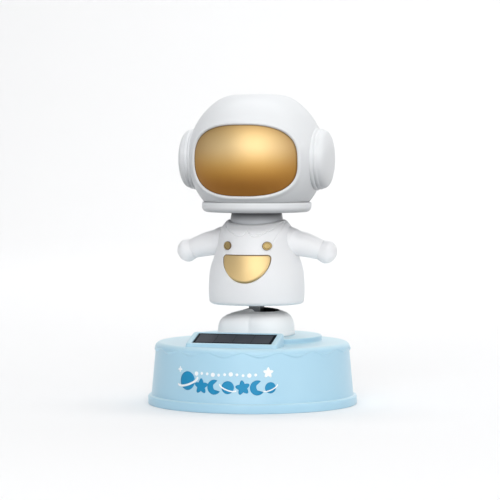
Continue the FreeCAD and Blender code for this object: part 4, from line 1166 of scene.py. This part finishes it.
def consistent_normals(piece):
    """Makes all faces of a closed piece wind the same way."""
    mesh_tool = bmesh.new()
    mesh_tool.from_mesh(piece.data)
    bmesh.ops.recalc_face_normals(mesh_tool, faces=mesh_tool.faces)
    mesh_tool.to_mesh(piece.data)
    mesh_tool.free()


def front_surface(x, z, lift):
    """The point of the chest at x and z, lifted along its normal."""
    half_x, half_y = torso_radii(z - HEM_Z)
    angle = math.asin(max(-1.0, min(1.0, x / half_x)))
    px, py = half_x * math.sin(angle), -half_y * math.cos(angle)
    nx, ny = math.sin(angle) / half_x, -math.cos(angle) / half_y
    length = math.hypot(nx, ny)
    return (px + lift * nx / length, FIGURE_Y + py + lift * ny / length, z)


def pocket_loop(count, grow):
    """The pocket's outline in x and z, grown by an amount."""
    half, top = POCKET_HALF + grow, POCKET_TOP + grow
    corner = PLATE_CORNER + grow
    depth = POCKET_DROP - corner
    points = []
    lower = count * 5 // 8
    for k in range(lower):
        t = math.pi + math.pi * k / (lower - 1)
        points.append((half * math.cos(t), top - corner + depth * math.sin(t)))
    side = 10
    points += arc(half - corner, top - corner, corner, 0, 90, side)[1:]
    lid = count - lower - 2 * side
    for k in range(1, lid + 1):
        points.append((lerp(half - corner, -half + corner, k / (lid + 1)), top))
    return points + arc(-half + corner, top - corner, corner, 90, 180, side)[:-1]


def make_pocket():
    """The gold smile-shaped pocket: a crowned inlay with a rounded edge, and a fine dark bronze line round it
    as painted shade in its recess.
    """
    count, foot, lift, edge, crown = 160, -0.7, 0.12, 0.22, 0.05
    middle = (0.0, POCKET_TOP - 3.2)
    rows = ((0.0, foot), (0.0, lift - edge), (-edge * 0.3, lift - edge * 0.35), (-edge, lift))
    loops = [[front_surface(x, z, up) for x, z in pocket_loop(count, grow)] for grow, up in rows]
    flat = pocket_loop(count, -edge)
    for t in (0.85, 0.65, 0.45, 0.25, 0.1):
        up = lift + crown * (1 - t * t)
        loops.append([front_surface(lerp(middle[0], x, t), lerp(middle[1], z, t), up) for x, z in flat])
    ends = ((0, front_surface(*middle, foot)), (-1, front_surface(*middle, lift + crown)))
    plate = skin("pocket_plate", loops, TRIM_GOLD, "torso", "gold_plastic", shut=False, caps=ends)
    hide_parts("pocket_inlay")
    # Painted shade: a dark bronze ring down in the recess round the pocket.
    rows = ((0.02, -0.6), (0.02, -0.02), (0.26, -0.02), (0.26, -0.6))
    loops = [[front_surface(x, z, up) for x, z in pocket_loop(count, grow)] for grow, up in rows]
    skin("pocket_edge_painted_shade", loops, BRONZE_PAINTED_SHADE, "torso", "gold_plastic")


BUTTON_ROWS = [
    # share of the radius, height over the chest
    (1.0, -0.3),
    (1.0, 0.32),
    (0.97, 0.48),
    (0.88, 0.58),
    (0.78, 0.6),
    (0.7, 0.52),
    (0.62, 0.4),
    (0.45, 0.4),
    (0.25, 0.46),
]
BUTTON_COUNT = 64
BUTTON_CROWN = 0.48
RIM_TOP_ROW = 3
GROOVE_ROWS = {5, 6}


def make_buttons():
    """Two domed buttons with a raised rim and a dished middle. The rim's outer and inner slopes are dark
    bronze: painted shade.
    """
    for side, word in ((-1, "right"), (1, "left")):
        cx = side * BUTTON_X
        loops = []
        for scale, lift in BUTTON_ROWS:
            ring = round_outline(cx, BUTTON_Z, BUTTON_R * scale, BUTTON_COUNT)
            loops.append([front_surface(x, z, lift) for x, z in ring])
        foot = front_surface(cx, BUTTON_Z, BUTTON_ROWS[0][1])
        ends = ((0, foot), (-1, front_surface(cx, BUTTON_Z, BUTTON_CROWN)))
        piece = loops_mesh(f"chest_button_{word}", loops, BUTTON_GOLD, shut=False, caps=ends)
        piece.data.materials.append(BRONZE_PAINTED_SHADE)
        # Painted shade on the rim's outer slope and on its inner slope into the dish.
        for polygon in piece.data.polygons:
            rows = {index // BUTTON_COUNT for index in polygon.vertices}
            if max(rows) <= RIM_TOP_ROW or rows == GROOVE_ROWS:
                polygon.material_index = 1
        finished(piece, "torso", "gold_plastic")
    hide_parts("chest_buttons")


def make_neck():
    """The cone-shaped sleeve between torso and helmet. Its grey is painted shade, and its nearly black top is
    a painted shadow under the helmet's collar.
    """
    low, high = SLEEVE_LOW.z, SLEEVE_HIGH.z
    wall, flange_r = 1.1, SLEEVE_HIGH.x
    flange_h = 0.9
    outer_low, outer_high = 9.7, 8.9
    section = [
        (flange_r - 0.5, low),
        (flange_r - 0.8, low + flange_h),
        (outer_low + 0.2, low + flange_h),
        *line((outer_low, low + flange_h + 0.2), (outer_high, high - 0.4), 6),
        *arc(outer_high - 0.4, high - 0.4, 0.4, 0, 90, 4),
        (outer_high - wall, high),
        (outer_low - wall, low + flange_h),
        (outer_low - wall, low),
    ]
    skin("neck_sleeve_skin", lathe_z(section, 128), NECK_GREY_PAINTED_SHADE, "torso", "grey_plastic", "neck_sleeve")


# ---------------------------------------------------------------- arms
ARM_ROOT = (9.0, 59.4)
ARM_DROOP = 19.5
ARM_ROWS = [
    # distance along the arm, half height, half depth, lift of the centre line
    (1.0, 5.5, 5.7, -1.6),
    (4.0, 5.35, 5.5, -1.35),
    (5.5, 4.85, 4.95, -1.05),
    (7.0, 4.6, 4.65, -0.7),
    (9.0, 4.4, 4.45, -0.35),
    (12.5, 3.95, 4.05, -0.1),
    (15.2, 3.55, 3.7, 0.0),
]
CUFF = 15.3
HAND_TIP = 21.3


def arm_centre(along, side, lift):
    """The arm's centre line. The hand turns up a little towards level."""
    droop = math.radians(ARM_DROOP)
    x = ARM_ROOT[0] + along * math.cos(droop)
    z = ARM_ROOT[1] - along * math.sin(droop) + lift
    return Vector((side * x, FIGURE_Y, z))


def arm_ring(along, side, half_z, half_y, lift, count, square=2.0):
    """A ring across the arm."""
    centre = arm_centre(along, side, lift)
    droop = math.radians(ARM_DROOP)
    up = Vector((side * math.sin(droop), 0, math.cos(droop)))
    points = []
    for t in turns_of(count):
        c, s = math.cos(t), math.sin(t)
        scale = (abs(c) ** square + abs(s) ** square) ** (-1 / square)
        points.append(tuple(centre + up * (half_z * c * scale) + Vector((0, half_y * s * scale, 0))))
    return points


def make_arm(side, name, node):
    """An arm that grows out of the shoulder, a fine cuff line, and a mitten with a slight thumb."""
    count, rows, steps = 96, 44, 34
    loops = []
    for i in range(rows):
        along = lerp(ARM_ROWS[0][0], CUFF, i / (rows - 1))
        half_z, half_y, lift = curve_through(ARM_ROWS, along)
        loops.append(arm_ring(along, side, half_z, half_y, lift, count))
    half_z, half_y, lift = ARM_ROWS[-1][1:]
    for step, sunk in ((0.07, 0.1), (0.16, 0.17), (0.26, 0.1)):
        loops.append(arm_ring(CUFF + step, side, half_z - sunk, half_y - sunk, lift, count))
    start = CUFF + 0.34
    for i in range(steps):
        u = 1 - (1 - i / steps) ** 1.6
        along = lerp(start, HAND_TIP, u)
        swell = half_z + 0.55 * math.sin(math.pi * min(0.9 * u + 0.04, 1.0))
        end = math.sqrt(max(1 - (max(u - 0.3, 0) / 0.7) ** 2.2, 0.0))
        half = max(swell * end, 0.05)
        loops.append(thumbed(arm_ring(along, side, half, half * 0.98, 0.0, count, 2.15), along, side))
    ends = (arm_centre(ARM_ROWS[0][0], side, ARM_ROWS[0][3]), arm_centre(HAND_TIP, side, 0.0))
    caps = ((0, tuple(ends[0])), (-1, tuple(ends[1])))
    skin(name, loops, WHITE, "torso", "white_plastic", node, shut=False, caps=caps)


def thumbed(ring, along, side):
    """A hand's ring with the low swelling of a thumb on its upper front."""
    centre = arm_centre(along, side, 0.0)
    thumb = Vector((0, -0.8, 0.6))
    points = []
    for point in ring:
        spoke = Vector(point) - centre
        near = max(spoke.normalized().dot(thumb), 0.0) ** 14
        push = 0.42 * near * math.exp(-(((along - 18.0) / 1.5) ** 2))
        points.append(tuple(Vector(point) + spoke.normalized() * push))
    return points


# ---------------------------------------------------------------- helmet
HELMET_WALL = 1.3
HELMET_SEAM = 0.04
HELMET_EDGE_SHARE = (COLLAR_HIGH.z - HELMET_Z) / HELMET_R
CROWN_POWER = 30.0
CROWN_UNIT = 10.0
VISOR_INSET = 0.5
VISOR_T = 1.3
POLE_GAP = 0.012


def helmet_point(direction, inset=0.0):
    """The helmet's surface in a direction from its centre: a ball with a softly flattened crown."""
    radius = HELMET_R - inset
    lid = HELMET_TOP - HELMET_Z - inset
    if direction.z > 0.3:
        a, b = radius / CROWN_UNIT, lid / direction.z / CROWN_UNIT
        radius = CROWN_UNIT * (a**-CROWN_POWER + b**-CROWN_POWER) ** (-1 / CROWN_POWER)
    return Vector((0, FIGURE_Y, HELMET_Z)) + direction * radius


def shell_point(polar, turn, inset, back=False):
    """The helmet's point at a polar angle from straight ahead, or back, and a turn from +X towards +Z."""
    y = math.cos(polar) if back else -math.cos(polar)
    direction = Vector((math.sin(polar) * math.cos(turn), y, math.sin(polar) * math.sin(turn)))
    return tuple(helmet_point(direction, inset))


def pole_caps(outer, inner, back=False):
    """The end points that close a shell on the axis through the face."""
    return ((0, shell_point(0.0, 0.0, outer, back)), (-1, shell_point(0.0, 0.0, inner, back)))


def visor_polar(turn):
    """Polar angle of the visor's outline in a direction round the helmet's centre."""
    drop = VISOR_Z - HELMET_Z
    c, s = math.cos(turn), math.sin(turn)
    low, high = 0.0, HELMET_R
    for _ in range(40):
        mid = (low + high) / 2
        x, z = mid * c, mid * s - drop
        inside = abs(x / VISOR_HALF_X) ** VISOR_POWER + abs(z / VISOR_HALF_Z) ** VISOR_POWER < 1
        low, high = (mid, high) if inside else (low, mid)
    return math.asin(min(low / HELMET_R, 0.9999))


def rim_polar(turn):
    """Polar angle of the front shell's edge: the side seam, or the level edge that stands on the collar."""
    s = math.sin(turn)
    if s < 0 and s < HELMET_EDGE_SHARE:
        return math.asin(min(HELMET_EDGE_SHARE / s, 1.0))
    return math.pi / 2


def helmet_turns(count):
    """Directions round the face, with the two corners between seam and collar edge among them."""
    corner = math.asin(HELMET_EDGE_SHARE)
    lower = int(count * (math.pi + 2 * corner) / (2 * math.pi))
    upper = count - lower
    turns = [lerp(corner, math.pi - corner, k / upper) for k in range(upper)]
    turns += [lerp(math.pi - corner, 2 * math.pi + corner, k / lower) for k in range(lower)]
    return turns


LIP = [
    # distance out from the visor's edge, depth under the helmet's surface
    (0.0, 1.25),
    (0.0, 0.5),
    (0.05, 0.25),
    (0.17, 0.05),
    (0.36, -0.1),
    (0.65, -0.2),
    (1.0, -0.22),
    (1.4, -0.18),
    (1.85, -0.1),
    (2.3, -0.03),
    (2.8, 0.0),
]
LIP_WIDTH = LIP[-1][0]


def make_helmet_front():
    """The front shell, with a rolled lip round the visor opening."""
    steps = 26
    loops = []
    for turn in helmet_turns(360):
        edge, rim = visor_polar(turn), rim_polar(turn)
        room = min(0.75 * (rim - edge) * HELMET_R / LIP_WIDTH, 1.0)
        places = [(edge + room * grow / HELMET_R, inset) for grow, inset in LIP]
        start = edge + room * LIP_WIDTH / HELMET_R
        places += [(lerp(start, rim, i / steps), 0.0) for i in range(1, steps)]
        places.append((rim, HELMET_SEAM))
        places += [(lerp(rim, edge + 0.1 / HELMET_R, i / 10), HELMET_WALL) for i in range(11)]
        loops.append([shell_point(polar, turn, inset) for polar, inset in places])
    skin("helmet_front_skin", loops, HELMET_WHITE_PAINTED_SHADE, "head", "white_plastic", "helmet_front")


def make_helmet_back():
    """The back shell, seamed to the front one at the sides and over the crown."""
    columns = []
    for turn in helmet_turns(240):
        rim = rim_polar(turn)
        places = [(lerp(POLE_GAP, rim, i / 40), 0.0) for i in range(40)]
        places.append((rim, HELMET_SEAM))
        places += [(lerp(rim, POLE_GAP, i / 20), HELMET_WALL) for i in range(21)]
        columns.append([shell_point(polar, turn, inset, True) for polar, inset in places])
    loops = [list(row) for row in zip(*columns)]
    ends = pole_caps(0.0, HELMET_WALL, True)
    skin(
        "helmet_back_skin", loops, HELMET_WHITE_PAINTED_SHADE, "head", "white_plastic", "helmet_back", shut=False, caps=ends
    )


def make_visor():
    """The domed gold visor behind the lip."""
    rings, reach, inner_reach = 36, 1.06, 0.97

    def row(share, inset):
        """The visor's outline at a share of its size and a depth under the helmet's surface."""
        return [shell_point(visor_polar(a) * share, a, inset) for a in turns_of(256)]

    front = [row(inner_reach * (1 - i / rings), VISOR_INSET) for i in range(rings - 1, 0, -1)]
    front += [row(share, VISOR_INSET) for share in (inner_reach, 1.0, 1.03, reach)]
    edge = [row(reach, VISOR_INSET + depth) for depth in (0.3, 0.9)]
    back = [row(reach * i / 8, VISOR_INSET + VISOR_T) for i in range(8, 0, -1)]
    ends = pole_caps(VISOR_INSET, VISOR_INSET + VISOR_T)
    loops = front + edge + back
    skin("visor_pane", loops, VISOR_GOLD_PAINTED_REFLECTION, "head", "gold_visor", "visor", shut=False, caps=ends)


def make_collar():
    """The ring under the helmet, rounded below, with the channel that the shells stand in."""
    rim, low, high = COLLAR_HIGH.x, COLLAR_LOW.z, COLLAR_HIGH.z
    hole, wall = 12.0, 1.4
    section = [
        *arc(hole + 0.3, low + 0.3, 0.3, 180, 270, 3),
        *arc(rim - 2.0, low + 2.0, 2.0, 270, 360, 12),
        *arc(rim - 0.6, high - 0.6, 0.6, 0, 90, 6),
        (rim - 1.5, high),
        (rim - 1.5, low + 2.2),
        (rim - 2.3, low + wall),
        (hole + wall, low + wall),
        (hole + wall, high),
        (hole, high),
    ]
    loops = lathe_z(section, 224)
    skin("helmet_collar_ring", loops, HELMET_WHITE_PAINTED_SHADE, "head", "white_plastic", "helmet_collar")


POD_EXTRA = 0.9
POD_FOOT = 20.9


def make_pod(side, name, node):
    """An ear pod: a rounded rim, a softer step, and a large pillow-shaped cap."""
    reach = POD_HIGH.x + POD_EXTRA
    radius = (POD_HIGH.z - POD_LOW.z) / 2
    centre_z = (POD_LOW.z + POD_HIGH.z) / 2
    foot = POD_FOOT
    section = [
        (radius - 0.5, foot),
        *arc(radius - 1.0, foot + 1.2, 1.0, -50, 52, 9),
        *arc(radius - 1.35, foot + 2.7, 0.95, -38, 50, 8),
    ]
    cap_r, cap_depth, fullness = radius - 0.72, 3.6, 2 / 2.6
    for i in range(18):
        t = math.radians(lerp(8, 82, i / 17))
        section.append((cap_r * math.cos(t) ** fullness, reach - cap_depth * (1 - math.sin(t) ** fullness)))
    crown_r, crown_x = section[-1]
    for i in range(1, 14):
        t = i / 14
        section.append((crown_r * (1 - t), lerp(crown_x, reach, 1 - (1 - t) ** 2.4)))
    loops = []
    for r, x in section:
        ring = round_outline(0.0, 0.0, r, 160)
        loops.append([(side * x, FIGURE_Y + across, centre_z + up) for up, across in ring])
    ends = ((0, (side * foot, FIGURE_Y, centre_z)), (-1, (side * reach, FIGURE_Y, centre_z)))
    skin(name, loops, HELMET_WHITE_PAINTED_SHADE, "head", "white_plastic", node, shut=False, caps=ends)


# ---------------------------------------------------------------- stage, light and camera
CAMERA_AZIMUTH = 15.0
CAMERA_DISTANCE = 860.0
CAMERA_HEIGHT = 93.5
FOCAL_PER_WIDTH = 4.86
AIM_RIGHT = -2.5 / 2430.0
AIM_UP = -111.0 / 2430.0
SENSOR_WIDTH = 36.0
FLOOR_GAP = 0.02
WORLD_STRENGTH = 0.53


def studio_paper():
    """The stage's plain finish."""
    material, _, shader = principled("studio_paper", (0.92, 0.92, 0.92), 0.9)
    shader.inputs["Specular IOR Level"].default_value = 0.2
    return material


def make_stage():
    """A pale floor that curves up into a backdrop far behind."""
    half, back, height, bend = 2600.0, 1500.0, 2600.0, 400.0
    profile = [(-1400.0, 0.0), (0.0, 0.0), (500.0, 0.0), (back - bend, 0.0)]
    profile += arc(back - bend, bend, bend, -80, 0, 10)
    profile.append((back, height))
    points, faces = [], []
    for y, z in profile:
        points += [(-half, y, z - FLOOR_GAP), (half, y, z - FLOOR_GAP)]
    for i in range(len(profile) - 1):
        faces.append((2 * i, 2 * i + 1, 2 * i + 3, 2 * i + 2))
    mesh_object("studio_sweep", points, faces, studio_paper())


def area_light(name, position, target, size, power):
    """A white softbox of a size in millimetres and a power in watts, turned towards a target."""
    data = bpy.data.lights.new(name, "AREA")
    data.shape = "RECTANGLE"
    data.size, data.size_y = size[0] * MM, size[1] * MM
    data.energy = power
    lamp = bpy.data.objects.new(name, data)
    bpy.context.scene.collection.objects.link(lamp)
    lamp.location = Vector(position) * MM
    lamp.rotation_mode = "QUATERNION"
    direction = Vector(target) - Vector(position)
    lamp.rotation_quaternion = direction.to_track_quat("-Z", "Y")


def make_lights():
    """A bright studio: a world that is white towards +X and greyer towards -X, a large soft key high in
    front, weaker softboxes above and on the right, and a wash on the backdrop."""
    world = bpy.data.worlds.new("studio_world")
    bpy.context.scene.world = world
    world.use_nodes = True
    tree = world.node_tree
    background = tree.nodes["Background"]
    background.inputs["Strength"].default_value = WORLD_STRENGTH
    sky = between(tree, axes(tree, "Generated")["X"], 0.0, 0.7, (0.58, 0.59, 0.61), (1.0, 1.0, 1.0))
    tree.links.new(sky, background.inputs["Color"])
    middle = (0, 0, 60)
    area_light("key_softbox", (168, -790, 460), (0, 0, 80), (740, 760), 4.4)
    area_light("top_softbox", (-120, -60, 950), middle, (700, 700), 1.3)
    area_light("right_softbox", (760, -420, 300), middle, (320, 420), 0.5)
    area_light("backdrop_wash", (0, 500, 1500), (0, 1500, 500), (1800, 500), 16.8)


def make_camera():
    """The photograph's view: from the front, some degrees round towards +X, and level with the face."""
    data = bpy.data.cameras.new("camera")
    camera = bpy.data.objects.new("camera", data)
    bpy.context.scene.collection.objects.link(camera)
    data.sensor_width = SENSOR_WIDTH
    data.lens = SENSOR_WIDTH * FOCAL_PER_WIDTH
    a = math.radians(CAMERA_AZIMUTH)
    data.clip_start, data.clip_end = 0.05, 20.0
    camera.location = Vector(
        (CAMERA_DISTANCE * math.sin(a), -CAMERA_DISTANCE * math.cos(a), CAMERA_HEIGHT)
    ) * MM
    ahead = Vector((-math.sin(a), math.cos(a), 0))
    right = Vector((math.cos(a), math.sin(a), 0))
    aim = ahead + right * AIM_RIGHT + Vector((0, 0, AIM_UP))
    camera.rotation_mode = "QUATERNION"
    camera.rotation_quaternion = aim.to_track_quat("-Z", "Y")
    bpy.context.scene.camera = camera


# ---------------------------------------------------------------- build
finish_cad_nodes()
make_base()
make_cell_frame()
make_solar_cell()
make_print()
make_shoes()
make_torso_half("torso_front_skin", -math.pi / 2, math.pi / 2, 380, 160, chest_relief, "torso_front")
make_torso_half("torso_back_skin", math.pi / 2, 3 * math.pi / 2, 120, 60, None, "torso_back")
make_pocket()
make_buttons()
make_neck()
make_arm(-1, "right_arm_skin", "right_arm")
make_arm(1, "left_arm_skin", "left_arm")
make_helmet_front()
make_helmet_back()
make_visor()
make_collar()
make_pod(-1, "right_ear_pod_skin", "right_ear_pod")
make_pod(1, "left_ear_pod_skin", "left_ear_pod")
make_stage()
make_lights()
make_camera()
bpy.context.scene.view_settings.view_transform = "Standard"
